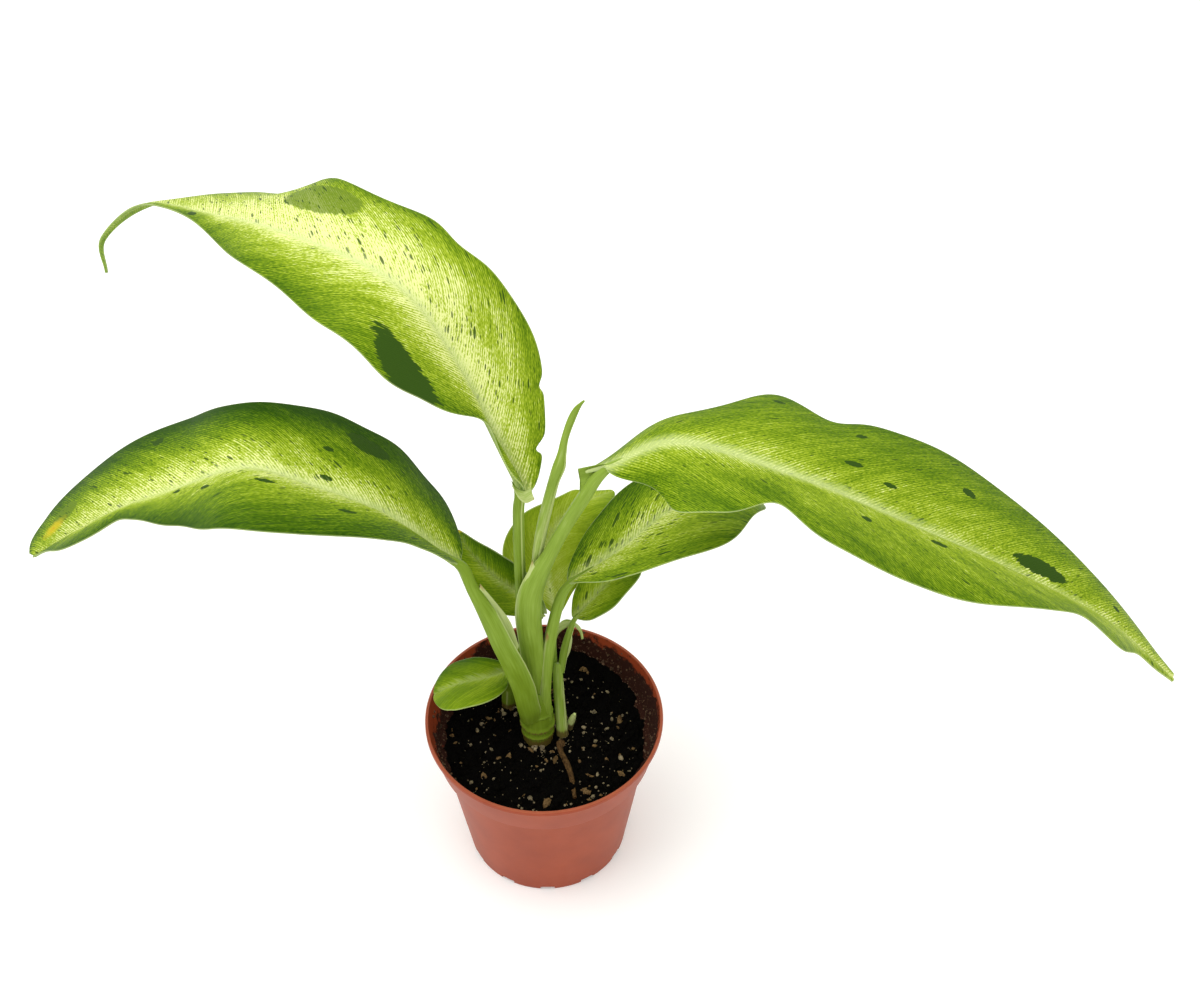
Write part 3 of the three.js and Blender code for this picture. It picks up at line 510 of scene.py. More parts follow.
# Plain colours laid over a finish in places.
STAIN_YELLOW = (0.55, 0.44, 0.015)
STAIN_ORANGE = (0.5, 0.22, 0.008)
STALK_FOOT = (0.1, 0.055, 0.016)
# painted highlight: pale pink laid along the top of the pot's lip
RIM_HIGHLIGHT = (0.5, 0.2, 0.12)
RIM_HIGHLIGHT_HEIGHTS = (0.0830, 0.0833)     # heights in metres between which the painted highlight along the top of the lip sets in
DIRT_FLECKS = (0.2, 0.11, 0.06)


# ------------------------------------------------------------------------------------ curves


def unit(vectors):
    """Each vector divided by its own length."""
    return vectors / np.linalg.norm(vectors, axis=-1, keepdims=True)


def smooth(low, high, values):
    """0 below low, 1 above high, and between them 3t^2 - 2t^3 of the share t of the way."""
    t = np.clip((values - low) / (high - low), 0, 1)
    return t * t * (3 - 2 * t)


def along(rows, stations):
    """Every column of a table at stations counted from its first row: the uniform Catmull-Rom cubic
    through the rows, each end carried on by twice the end row less its neighbour."""
    rows = np.asarray(rows, float)
    padded = np.vstack([2 * rows[0] - rows[1], rows, 2 * rows[-1] - rows[-2]])
    i = np.clip(np.floor(stations).astype(int), 0, len(rows) - 2)
    f = (stations - i)[..., None]
    a, b, c, d = (padded[i + k] for k in range(4))
    return (
        b + 0.5 * f * (c - a) + f**2 * (a - 2.5 * b + 2 * c - 0.5 * d)
        + f**3 * (-0.5 * a + 1.5 * b - 1.5 * c + 0.5 * d)
    )


def tangents(rows, stations):
    """The unit tangents of the curve through a table's first three columns."""
    ahead = along(rows, np.minimum(stations + TANGENT_STEP, len(rows) - 1))[:, :3]
    behind = along(rows, np.maximum(stations - TANGENT_STEP, 0))[:, :3]
    return unit(ahead - behind)


def square_to(tangent, start):
    """The direction start made square to each tangent, and the normal, tangent x side."""
    side = unit(start - (tangent @ start)[:, None] * tangent)
    return side, np.cross(tangent, side)


def lengths_along(points):
    """How far each point of a line lies from its first one, along the line."""
    return np.concatenate([[0], np.cumsum(np.linalg.norm(np.diff(points, axis=0), axis=1))])


def compass(degrees):
    """The level unit vector at a compass angle, counted from +X towards +Y."""
    return np.array([math.cos(math.radians(degrees)), math.sin(math.radians(degrees)), 0.0])


def parabola(values, u):
    """The parabola that takes the three values at u = 0, a half and 1."""
    start, middle, end = values
    return start * (1 - u) * (1 - 2 * u) + middle * 4 * u * (1 - u) + end * u * (2 * u - 1)


def relief(x, y, pitch, seed):
    """Random heights between -1 and 1 on a square lattice of that pitch, blended between the lattice
    points by the smooth step of the place between them."""
    size = 128
    heights = np.random.default_rng(seed).uniform(-1, 1, (size, size))
    gx, gy = np.asarray(x) / pitch + size // 2, np.asarray(y) / pitch + size // 2
    i, j = np.floor(gx).astype(int), np.floor(gy).astype(int)
    fx, fy = smooth(0, 1, gx - i), smooth(0, 1, gy - j)
    i, j, right, above = i % size, j % size, (i + 1) % size, (j + 1) % size
    low = heights[i, j] * (1 - fx) + heights[right, j] * fx
    high = heights[i, above] * (1 - fx) + heights[right, above] * fx
    return low * (1 - fy) + high * fy


# ------------------------------------------------------------------------------------ meshes


def ring_faces(rows, columns, closed=True):
    """Quads between neighbouring rows of a grid of points. A closed one joins its last column to its
    first."""
    i = np.arange(rows - 1)[:, None] * columns
    j = np.arange(columns if closed else columns - 1)[None, :]
    after = (j + 1) % columns
    return np.stack([i + j, i + after, i + columns + after, i + columns + j], -1).reshape(-1, 4)


def tube_faces(rows, columns):
    """The quads of a closed tube and the triangles of its two ends, which meet in two points that
    stand after the grid."""
    j = np.arange(columns)
    after = (j + 1) % columns
    low, high = rows * columns, rows * columns + 1
    top = (rows - 1) * columns
    start = np.stack([np.full(columns, low), after, j], -1)
    end = np.stack([np.full(columns, high), top + j, top + after], -1)
    return [ring_faces(rows, columns), start, end]


def with_ends(grid):
    """The points of a tube's grid, then the middles of its first and last rows."""
    return np.vstack([grid.reshape(-1, 3), grid[0].mean(0), grid[-1].mean(0)])


def end_values(values):
    """An attribute on a tube's grid, carried on to its two end points."""
    return np.concatenate([values.ravel(), [values[0].mean()], [values[-1].mean()]])


def add_piece(name, points, faces, finish, node, fields=None, crease=40):
    """Makes a mesh object from points in mm and arrays of faces. It rides on the frame, stands for
    the CAD node and takes the finish it is given. fields are its attributes."""
    mesh = bpy.data.meshes.new(name)
    mesh.from_pydata((points * MM).tolist(), [], [face for part in faces for face in part.tolist()])
    for field, values in (fields or {}).items():
        layer = mesh.attributes.new(field, "FLOAT", "POINT")
        layer.data.foreach_set("value", np.asarray(values, np.float32).ravel())
    mesh.shade_smooth()
    mesh.set_sharp_from_angle(angle=math.radians(crease))
    mesh.materials.append(finish)
    piece = bpy.data.objects.new(name, mesh)
    bpy.context.scene.collection.objects.link(piece)
    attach(piece, "root")
    if node:
        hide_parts(node)


def add_tube(name, grid, fields, finish, node, slot, crease=40):
    """A closed tube as a piece, with its fields carried on to its two end points."""
    fields = {key: end_values(values) for key, values in fields.items()}
    add_piece(name, with_ends(grid), tube_faces(*grid.shape[:2]), finish, node, fields, crease)


# ------------------------------------------------------------------------------------ finishes


class Finish:
    """A material's nodes. A call adds a node and gives the socket that later calls read. Coats are laid
    one over another on base, the colour so far."""

    def __init__(self, name, roughness=0.5, specular=0.5):
        """A material with one shader, and no colour under its coats yet."""
        self.material = bpy.data.materials.new(name)
        self.material.use_nodes = True
        self.tree = self.material.node_tree
        self.shader = self.tree.nodes["Principled BSDF"]
        self.shader.inputs["Roughness"].default_value = roughness
        self.shader.inputs["Specular IOR Level"].default_value = specular
        self.base = None

    def feed(self, socket, value):
        """Links a socket, or sets a plain value."""
        if isinstance(value, bpy.types.NodeSocket):
            self.tree.links.new(value, socket)
        else:
            socket.default_value = value

    def add(self, kind, inputs, output=0, **settings):
        """One node of a kind, with its settings and inputs."""
        node = self.tree.nodes.new(kind)
        for key, value in settings.items():
            setattr(node, key, value)
        for key, value in inputs.items():
            self.feed(node.inputs[key], value)
        return node.outputs[output]

    def field(self, name):
        """The piece's own attribute."""
        return self.add("ShaderNodeAttribute", {}, "Fac", attribute_name=name)

    def place(self):
        """Where a point lies on the piece, in metres."""
        return self.add("ShaderNodeTexCoord", {}, "Object")

    def math(self, operation, a, b=0.0, c=0.0):
        """Arithmetic on two numbers, or on three."""
        return self.add("ShaderNodeMath", {0: a, 1: b, 2: c}, operation=operation)

    def times(self, a, b):
        """The product of two numbers, which needs no node where the second is 1."""
        return a if b == 1.0 else self.math("MULTIPLY", a, b)

    def sway(self, value, noise, amount):
        """A value moved by that much of a noise's swing about a half."""
        return self.math("ADD", value, self.math("MULTIPLY_ADD", noise, amount, -amount / 2))

    def vector(self, x, y, z=0.0):
        """Three numbers as one vector."""
        return self.add("ShaderNodeCombineXYZ", {0: x, 1: y, 2: z})

    def noise(self, vector, scale, detail=2.0, roughness=0.5):
        """Cloudy noise around a half."""
        inputs = {"Vector": vector, "Scale": scale, "Detail": detail, "Roughness": roughness}
        return self.add("ShaderNodeTexNoise", inputs)

    def step(self, value, low, high, start=0.0, end=1.0):
        """A smooth step from start to end, as the value goes from low to high."""
        inputs = {"Value": value, "From Min": low, "From Max": high, "To Min": start, "To Max": end}
        return self.add("ShaderNodeMapRange", inputs, interpolation_type="SMOOTHSTEP")

    def coat(self, share, colour):
        """Lays the share of a plain colour over the colour so far."""
        inputs = {0: share, 6: self.base, 7: (*colour, 1)}
        self.base = self.add("ShaderNodeMix", inputs, 2, data_type="RGBA")

    def ramp(self, value, stops):
        """A colour for each value, through (place, colour) stops."""
        colour = self.add("ShaderNodeValToRGB", {0: value})
        elements = colour.node.color_ramp.elements
        while len(elements) < len(stops):
            elements.new(0.5)
        for element, (place, shade) in zip(elements, stops):
            element.position = place
            element.color = (*shade, 1)
        return colour

    def relief(self, height, depth, strength=1.0):
        """Raises the surface by a height field, depth metres for a height of 1."""
        normal = self.add("ShaderNodeBump", {"Strength": strength, "Distance": depth, "Height": height})
        self.feed(self.shader.inputs["Normal"], normal)

    def colour(self, value):
        """Gives the shader its colour."""
        self.feed(self.shader.inputs["Base Color"], value)

    def roughness(self, value):
        """Gives the shader its roughness."""
        self.feed(self.shader.inputs["Roughness"], value)


def dashes(look, vein, reach, half, width, length, rarity, seed):
    """Dark dashes along the veins, one for each Voronoi cell that its own random size lets show."""
    place = look.vector(
        look.math("DIVIDE", vein, width), look.math("DIVIDE", reach, length),
        look.math("ADD", half, seed),
    )
    cells = look.add("ShaderNodeTexVoronoi", {"Vector": place, "Scale": 1.0, "Randomness": 1.0})
    chance = look.add("ShaderNodeSeparateColor", {0: cells.node.outputs["Color"]})
    size = look.times(look.math("POWER", chance, rarity), 0.36)
    size = look.times(size, look.field("specks"))
    shown = look.step(look.math("SUBTRACT", cells, size), -0.04, 0.06, 1.0, 0.0)
    return look.times(shown, look.step(size, 0.03, 0.12))


def leaf_finish(settings):
    """Blade: cream to deep green by its tone, lined and mottled along the lateral veins, with dark
    dashes and patches between them, a feathered whitish rib, a thin pale margin and a duller
    underside."""
    look = Finish("leaf_blade", 0.45, settings.gloss)
    vein, reach, side = look.field("vein"), look.field("reach"), look.field("side")
    half = look.times(side, 9.0)

    def veined(by_vein, by_reach, scale, detail=2.0, roughness=0.5):
        """Noise on the blade, its places along the veins' row and out from the rib scaled so."""
        place = look.vector(look.times(vein, by_vein), look.times(reach, by_reach), half)
        return look.noise(place, scale, detail, roughness)

    # the variegation
    lines = look.sway(vein, veined(0.5, 0.2, 0.5), 2.4)
    ridge = look.math("SINE", look.times(lines, 2 * math.pi / settings.vein_pitch))
    cells = veined(1.0, 0.9, 1.7, 1.0)
    clouds = veined(0.55, 1.0, 0.11, 3.0, 0.55)
    grain = look.field("lines")
    shade = look.sway(look.field("tone"), clouds, 0.5)
    shade = look.math("ADD", shade, look.times(grain, look.sway(0.0, cells, 0.9)))
    shade = look.sway(shade, veined(1.0, 0.07, 0.55), 0.35)
    bold = look.times(grain, look.step(clouds, 0.35, 0.6, 0.05, 0.15))
    look.base = look.ramp(look.math("MULTIPLY_ADD", ridge, bold, shade), [
        (0.0, settings.deep_green), (0.3, settings.dark_green), (0.52, settings.green),
        (0.7, settings.light_green), (0.85, settings.yellow), (1.0, settings.cream),
    ])
    # faint patches, dashes, and patches whose edge steps from vein to vein
    ragged = veined(1.0, 0.45, 0.6, 2.0, 0.6)
    look.coat(look.step(look.sway(look.field("olive"), ragged, 0.5), 0.0, 0.12, 0.0, 0.8), settings.olive)
    fine = dashes(look, vein, reach, half, 1.6, 2.0, 2.6, 0.0)
    look.coat(look.times(fine, 0.85), settings.patch_green)
    long = dashes(look, vein, reach, half, 2.8, 3.6, 5.0, 4.0)
    look.coat(look.times(long, 0.9), settings.patch_green)
    look.coat(look.step(look.sway(look.field("patch"), ragged, 0.8), 0.0, 0.08), settings.patch_green)
    # the rib's pale feathers, a lighter glow beside it, and the pale margin
    glow = look.math("SUBTRACT", look.field("band"), reach)
    feathered = look.sway(glow, veined(1.0, 0.25, 0.9, 2.0, 0.6), 6.0)
    look.coat(look.step(feathered, -2.6, 1.8, 0.0, 0.42), settings.rib_cream)
    look.coat(look.step(glow, 0.4, 1.4, 0.0, 0.3), settings.rib_cream)
    look.coat(look.step(look.field("margin"), 0.1, 0.6, 0.45, 0.0), settings.rib_cream)
    stain = look.sway(look.field("stain"), ragged, 0.6)
    look.coat(look.step(stain, -0.4, 0.3, 0.0, 0.8), STAIN_YELLOW)
    look.coat(look.step(stain, 0.3, 0.8, 0.0, 0.8), STAIN_ORANGE)
    look.coat(look.times(look.field("under"), 0.5), settings.underside)
    look.colour(look.base)
    look.roughness(look.step(cells, 0.3, 0.7, 0.42, 0.52))
    look.relief(look.math("MULTIPLY_ADD", ridge, 0.3, cells), 0.00018, 0.45)
    return look.material


def stalk_finish(settings):
    """Stems, petioles and sheaths: green with fine lengthwise fibres and soft cloudy patches, paler
    towards a sheath's free edge, with a pale line along it that turns brown at its tip, and darker by
    painted shade behind a sheath's crease."""
    look = Finish("stalk", 0.42, settings.gloss)
    around, length = look.field("around"), look.field("length")
    fibres = look.noise(look.vector(around, look.times(length, 0.035)), 2.1)
    clouds = look.noise(look.vector(look.times(around, 0.3), look.times(length, 0.05)), 1.0)
    shade = look.sway(look.sway(look.field("tint"), fibres, 0.8), clouds, 0.9)
    lip = look.field("lip")
    shade = look.math("ADD", shade, look.step(lip, 0.0, 4.5, 0.35, 0.0))
    look.base = look.ramp(look.math("MULTIPLY_ADD", shade, 0.5, 0.5), [
        (0.0, settings.olive), (0.45, settings.green), (0.75, settings.light), (1.0, settings.pale),
    ])
    look.coat(look.step(lip, 0.25, 0.9, 0.7, 0.0), settings.pale)
    age = look.times(look.field("age"), look.step(lip, 0.8, 2.4, 1.0, 0.0))
    look.coat(look.step(look.sway(age, clouds, 0.6), 0.3, 0.8), settings.brown)
    look.coat(look.step(look.sway(look.field("foot"), fibres, 1.0), 0.35, 0.7, 0.0, 0.85), STALK_FOOT)
    look.colour(look.base)
    look.roughness(look.step(fibres, 0.3, 0.7, 0.38, 0.48))
    look.relief(fibres, 0.0001, 0.5)
    return look.material


def pot_finish(settings):
    """Satin moulded plastic, faintly mottled, with a painted highlight along the top of the lip and
    dried soil, deepened by painted shade, on the inside of the collar."""
    look = Finish("pot_plastic", 0.45, 0.18)
    place = look.place()
    mottle = look.noise(place, 60.0, 4.0, 0.6)
    r, g, b = settings.colour
    darker, lighter = (r * 0.9, g * 0.86, b * 0.85), (r * 1.1, g * 1.14, b * 1.18)
    look.base = look.ramp(mottle, [(0.3, darker), (0.7, lighter)])
    height = look.add("ShaderNodeSeparateXYZ", {0: place}, "Z")
    # painted highlight: the top of the lip is made lighter above these heights
    rim_highlight = look.step(look.math("MULTIPLY_ADD", mottle, 0.0006, height), *RIM_HIGHLIGHT_HEIGHTS)
    look.coat(look.times(rim_highlight, 0.2), RIM_HIGHLIGHT)
    # painted shade: the near-black film inside the collar is partly real dried soil and partly the shade of
    # that recess
    dirt_and_shade_film = look.sway(look.field("dirt_and_shade"), look.noise(place, 200.0, 5.0, 0.65), 2.2)
    dirt_and_shade_mask = look.step(dirt_and_shade_film, 0.1, 0.5)
    look.coat(look.times(dirt_and_shade_mask, 0.92), settings.dirt_and_shade)
    flecks = look.step(look.noise(place, 800.0, 2.0, 0.6), 0.6, 0.68, 0.0, 0.35)
    look.coat(look.times(dirt_and_shade_mask, flecks), DIRT_FLECKS)
    look.colour(look.base)
    look.roughness(look.step(dirt_and_shade_mask, 0.0, 1.0, 0.45, 0.9))
    look.relief(dirt_and_shade_mask, 0.0002, 0.5)
    return look.material


def soil_finish(name, dark, light, scale):
    """Peat: nearly black clods, with some lighter fibre."""
    look = Finish(name, 0.95, 0.05)
    place = look.place()
    cloud = look.noise(place, scale, 5.0, 0.7)
    look.colour(look.ramp(cloud, [(0.5, dark), (0.85, light)]))
    look.relief(look.noise(place, scale * 1.6, 4.0, 0.7), 0.0006, 0.8)
    return look.material


def plain_finish(name, dark, light, scale, roughness=0.7, depth=0.0002):
    """A stony or woody crumb: two shades in soft patches, slightly rough."""
    look = Finish(name, roughness, 0.1)
    place = look.place()
    cloud = look.noise(place, scale, 4.0, 0.65)
    look.colour(look.ramp(cloud, [(0.3, dark), (0.7, light)]))
    look.relief(cloud, depth, 0.7)
    return look.material


# ------------------------------------------------------------------------------------ surfaces


def half_width(leaf, half, u):
    """Half width of a blade at u: a quarter sine up to its fullest place times a quarter cosine down
    from it, each raised to its own power, less a bell-shaped bite at each of its bites."""
    widest = leaf["widest"]
    rise = np.sin(np.pi / 2 * np.minimum(u / widest, 1)) ** half["base"]
    fall = np.maximum(0, np.cos(np.pi / 2 * np.maximum((u - widest) / (1 - widest), 0))) ** half["tip"]
    least = LEAST_WIDTH + (leaf["end"][0] - LEAST_WIDTH) * smooth(TIP_REACH[0], 1, u)
    width = least + (half["width"] - least) * rise * fall
    for place, depth, length in half.get("bites", []):
        width = width * (1 - depth * np.exp(-(((u - place) / length) ** 2)))
    return width


def midrib_on(rib, u):
    """Points and tangents of the Catmull-Rom curve through the rib, at shares u of its length."""
    fine = np.linspace(0, len(rib) - 1, RIB_SAMPLES)
    gone = lengths_along(along(rib, fine))
    stations = np.interp(u * gone[-1], gone, fine)
    return along(rib, stations), tangents(rib, stations), gone[-1]


def blade_sheet(leaf, u, v):
    """The middle sheet of a blade on a grid of u along its rib and v across it, from -1 at the right
    margin to 1 at the left. From the rib, a point goes out along the chord of its half, which is the
    side direction lifted by the fold. It rises above the chord by a parabola, the bow, and by a
    ripple that grows with v squared, and it hangs back by the base lobe."""
    rib, tangent, length = midrib_on(leaf["rib"], u)
    side, normal = square_to(tangent, compass(leaf["heading"] + 90))
    out = np.abs(v)[None, :, None]
    on_left = (v >= 0)[None, :]
    sheet = np.zeros((len(u), len(v), 3))
    widths = np.zeros((len(u), len(v)))
    for half, mask, sign in ((leaf["left"], on_left, 1), (leaf["right"], ~on_left, -1)):
        width = half_width(leaf, half, u)
        fold = np.radians(parabola(half["fold"], u))[:, None]
        chord = sign * side * np.cos(fold) + normal * np.sin(fold)
        up = -sign * side * np.sin(fold) + normal * np.cos(fold)
        height, count, crest = half["wave"]
        ripple = height * np.sin(np.pi * u) * np.cos(2 * np.pi * count * (u - crest))
        lobe = half["lobe"] * np.maximum(0, 1 - u / LOBE_REACH) ** 2
        lobe = lobe - leaf["end"][1 if sign > 0 else 2] * smooth(TIP_REACH[1], 1, u)
        w = width[:, None, None]
        points = (
            rib[:, None] + chord[:, None] * w * out
            + up[:, None] * (4 * leaf["bow"] * w * out * (1 - out) + ripple[:, None, None] * out**2)
            - tangent[:, None] * lobe[:, None, None] * out**LOBE_POWER
        )
        sheet = np.where(mask[..., None], points, sheet)
        widths = np.where(mask, width[:, None], widths)
    return sheet, widths, length


def blade_fields(leaf, u, v, widths, length):
    """What the leaf's finish reads at each point: the vein it lies on, which leads forward from the
    rib and more so towards the margin, its distance from the rib and from the margin, its tone,
    which falls from the centre's to the edge's as |v| to the spread, and its patches."""
    u, v = u[:, None], v[None, :]
    out = np.abs(v)
    reach = out * widths
    fullest = max(leaf["left"]["width"], leaf["right"]["width"])
    left = v >= 0
    edge = np.where(left, parabola(leaf["left"]["edge"], u), parabola(leaf["right"]["edge"], u))
    centre = parabola(leaf["centre"], u)
    spread, specks = (np.where(left, leaf["left"][key], leaf["right"][key]) for key in ("spread", "specks"))

    def blots(rows):
        """1 in the middle of each blot and 0 at its oval edge."""
        blot = np.full(reach.shape, -1.0)
        for place, across, half_length, half_across, solid, lean in rows:
            ahead = (u - place) * length
            aside = np.sign(across) * (v - across) * widths - lean * ahead
            blot = np.maximum(blot, solid - np.hypot(ahead / half_length, aside / half_across))
        return blot

    return {
        "vein": u * length - VEIN_LEAN * reach - VEIN_SWEEP * reach**2 / fullest + 0 * v,
        "reach": reach,
        "side": np.where(left, 1.0, -1.0) + 0 * reach,
        "tone": centre + (edge - centre) * out**spread,
        "specks": specks * smooth(*BARE_BASE, u),
        "patch": blots(leaf["patches"]),
        "olive": blots(leaf["olive"]),
        "stain": blots(leaf["stain"]),
        "lines": leaf["lines"] + 0 * reach,
        "band": leaf["rib_band"] * (1 - BAND_TAPER * u**2) + 0 * v,
        "margin": (1 - out) * widths,
    }


def both_sides(upper, lower):
    """Once round a sheet: across on its upper side, then back across on its lower one."""
    return np.concatenate([upper, lower[:, ::-1]], axis=1)


def blade_grid(leaf, thickness):
    """A closed blade: the sheet's points moved half its thickness up, then back across, half down.
    Above the rib lies a shallow channel, and below it a keel that narrows towards the tip."""
    even = np.linspace(0, 1, leaf["rows"])
    u = even + END_CROWDING * ((1 - np.cos(np.pi * even)) / 2 - even)
    spread = np.linspace(-1, 1, leaf["columns"] + 1)
    v = np.sign(spread) * np.abs(spread) ** RIB_CROWDING
    v = np.concatenate([[-1.0, -LAST_COLUMN], v[1:-1], [LAST_COLUMN, 1.0]])
    sheet, widths, length = blade_sheet(leaf, u, v)
    normal = unit(np.cross(np.gradient(sheet, axis=0), np.gradient(sheet, axis=1)))
    reach = np.abs(v)[None, :] * widths
    widest, taper, least = KEEL_WIDTH
    keel_width = np.minimum(widest * (1 - taper * u) + least, 0.9 * widths.min(1))[:, None]
    keel = (KEEL_DEPTH * (1 - KEEL_TAPER * u))[:, None] * np.exp(-((reach / keel_width) ** 2))
    channel = CHANNEL_DEPTH * (1 - CHANNEL_TAPER * u)[:, None]
    channel = channel * np.exp(-((reach / (CHANNEL_SHARE * keel_width)) ** 2))
    body = thickness / 2 * smooth(0, 0.02, 1 - np.abs(v))[None, :] + EDGE_BODY
    upper = sheet + normal * (body - channel)[..., None]
    lower = sheet - normal * (body + keel)[..., None]
    fields = blade_fields(leaf, u, v, widths, length)
    fields = {key: both_sides(f, f)[:, ::-1] for key, f in fields.items()}
    fields["under"] = both_sides(0 * widths, 0 * widths + 1)[:, ::-1]
    return both_sides(upper, lower)[:, ::-1], fields


def stalk_grid(name):
    """A tube of oval sections. Its columns wind with the sheath's free edge. Just past the edge the
    surface stands out by the edge's height, and it sinks back all the way round to the inside of
    that edge. Flutes are a cosine around the section."""
    stalk = {**PLAIN_STALK, **STALKS[name]}
    last = len(stalk["sections"]) - 1
    stations = np.linspace(0, last, SECTION_ROWS * last + 1)
    row = along(stalk["sections"], stations)
    side, normal = square_to(tangents(stalk["sections"], stations), compass(stalk["side"]))
    gone = lengths_along(row[:, :3])
    share = (gone / gone[-1])[:, None]
    start, end, top, height, way = stalk["margin"]
    turned = np.linspace(0, 1, STALK_COLUMNS, endpoint=False)
    turned = np.concatenate([turned, [SEAM]])[None, :]
    degrees = start + (end - start) * share + way * 360 * turned
    angle = np.radians(degrees)
    on = smooth(0, EDGE_FADE, top - share) if height else 0 * share
    lift = height * on * (1 - turned) ** EDGE_POWER
    back = 0
    if "crease" in stalk:
        first, final, reach, drop = stalk["crease"]
        past = (way * (degrees - (first + (final - first) * share))) % 360
        sets_in, fades, ends = CREASE_TURN
        back = smooth(0, sets_in, past) * smooth(0, fades, ends - past)
        back = back * smooth(0, CREASE_FADE, reach - share)
        lift = lift - drop * back
    ring = 0 * share
    for level, out, half in stalk["rings"]:
        ring = ring + out * np.exp(-(((row[:, 2:3] - level) / half) ** 2))
    lift = lift + ring
    count, depth = stalk["flutes"]
    sway, times = FLUTE_SWAY
    flute = 1 + depth * np.cos(count * angle + sway * np.sin(times * angle)) * smooth(0, FLUTE_START, share)
    wide, deep = row[:, 3:4], row[:, 4:5]
    across = (wide * flute + lift) * np.cos(angle)
    depthwise = (deep * flute + lift) * np.sin(angle)
    grid = row[:, None, :3] + side[:, None] * across[..., None] + normal[:, None] * depthwise[..., None]
    low, high = stalk["tint"]
    radius = (wide + deep) / 2
    dried_from, dried_to = DRY_REACH
    fields = {
        "around": 2 * np.pi * turned * radius.mean() + 0 * radius,
        "length": gone[:, None] + 0 * angle,
        # painted shade: the back part of a sheath behind its crease is made darker
        "tint": low + (high - low) * share - CREASE_PAINTED_SHADE * back + 0 * angle,
        "lip": 2 * np.pi * turned * radius + LIP_END * (1 - on),
        "foot": 1 - smooth(*SOIL_LINE, grid[..., 2]) + RING_SHADE * ring,
        "age": on * smooth(top - dried_from, top - dried_to, share) * stalk["dry"] + 0 * angle,
    }
    if way < 0:
        return grid[:, ::-1], {key: values[:, ::-1] for key, values in fields.items()}
    return grid, fields


def flap_grid(flap, thickness, rows=60, columns=14):
    """A closed thin sheet ruled between two Catmull-Rom edges. It bulges square to them by the
    parabola 4s(1 - s) of the share s of the way across."""
    stations = np.linspace(0, len(flap["fixed"]) - 1, rows)
    fixed, free = along(flap["fixed"], stations)[:, None], along(flap["free"], stations)[:, None]
    s = np.linspace(0, 1, columns)[None, :, None]
    sheet = fixed + (free - fixed) * s
    normal = unit(np.cross(np.gradient(sheet, axis=0), np.gradient(sheet, axis=1)))
    normal = normal * np.sign(-normal[rows // 2, columns // 2, 1])
    sheet = sheet + normal * flap["bulge"] * 4 * s * (1 - s)
    faces_camera = np.cross(sheet[1] - sheet[0], sheet[0, 1] - sheet[0, 0])[0, 1] < 0
    width = np.linalg.norm(free - fixed, axis=-1)
    share = np.linspace(0, 1, rows)[:, None]
    s = s[..., 0]
    low, high = flap["tint"]
    fields = {
        "around": s * width, "length": 40 * share + 0 * s, "tint": low + (high - low) * share + 0 * s,
        "lip": (1 - s) * width, "age": flap["age"] * smooth(0.72, 1, share) + 0 * s, "foot": 0 * share * s,
    }
    grid = both_sides(sheet + normal * thickness / 2, sheet - normal * thickness / 2)
    fields = {key: both_sides(f, f) for key, f in fields.items()}
    if not faces_camera:
        return grid, fields
    return grid[:, ::-1], {key: f[:, ::-1] for key, f in fields.items()}


def rounded(corners, steps=4):
    """A line of (radius, height, rounding) corners as points: each corner is swapped for the quadratic
    curve between the places that lie its rounding away from it on both sides."""
    points = [corners[0][:2]]
    for before, corner, after in zip(corners, corners[1:], corners[2:]):
        middle = np.array(corner[:2], float)
        back, ahead = np.array(before[:2]) - middle, np.array(after[:2]) - middle
        first = middle + back * min(corner[2] / np.hypot(*back), 0.45)
        last = middle + ahead * min(corner[2] / np.hypot(*ahead), 0.45)
        for t in np.linspace(0, 1, steps + 1):
            points.append((1 - t) ** 2 * first + 2 * t * (1 - t) * middle + t**2 * last)
    points.append(corners[-1][:2])
    return np.array([np.asarray(p, float) for p in points])


def wall_radius(z):
    """Radius of the inside of the collar at a height."""
    return np.interp(z, WALL_HEIGHTS, WALL_RADII)


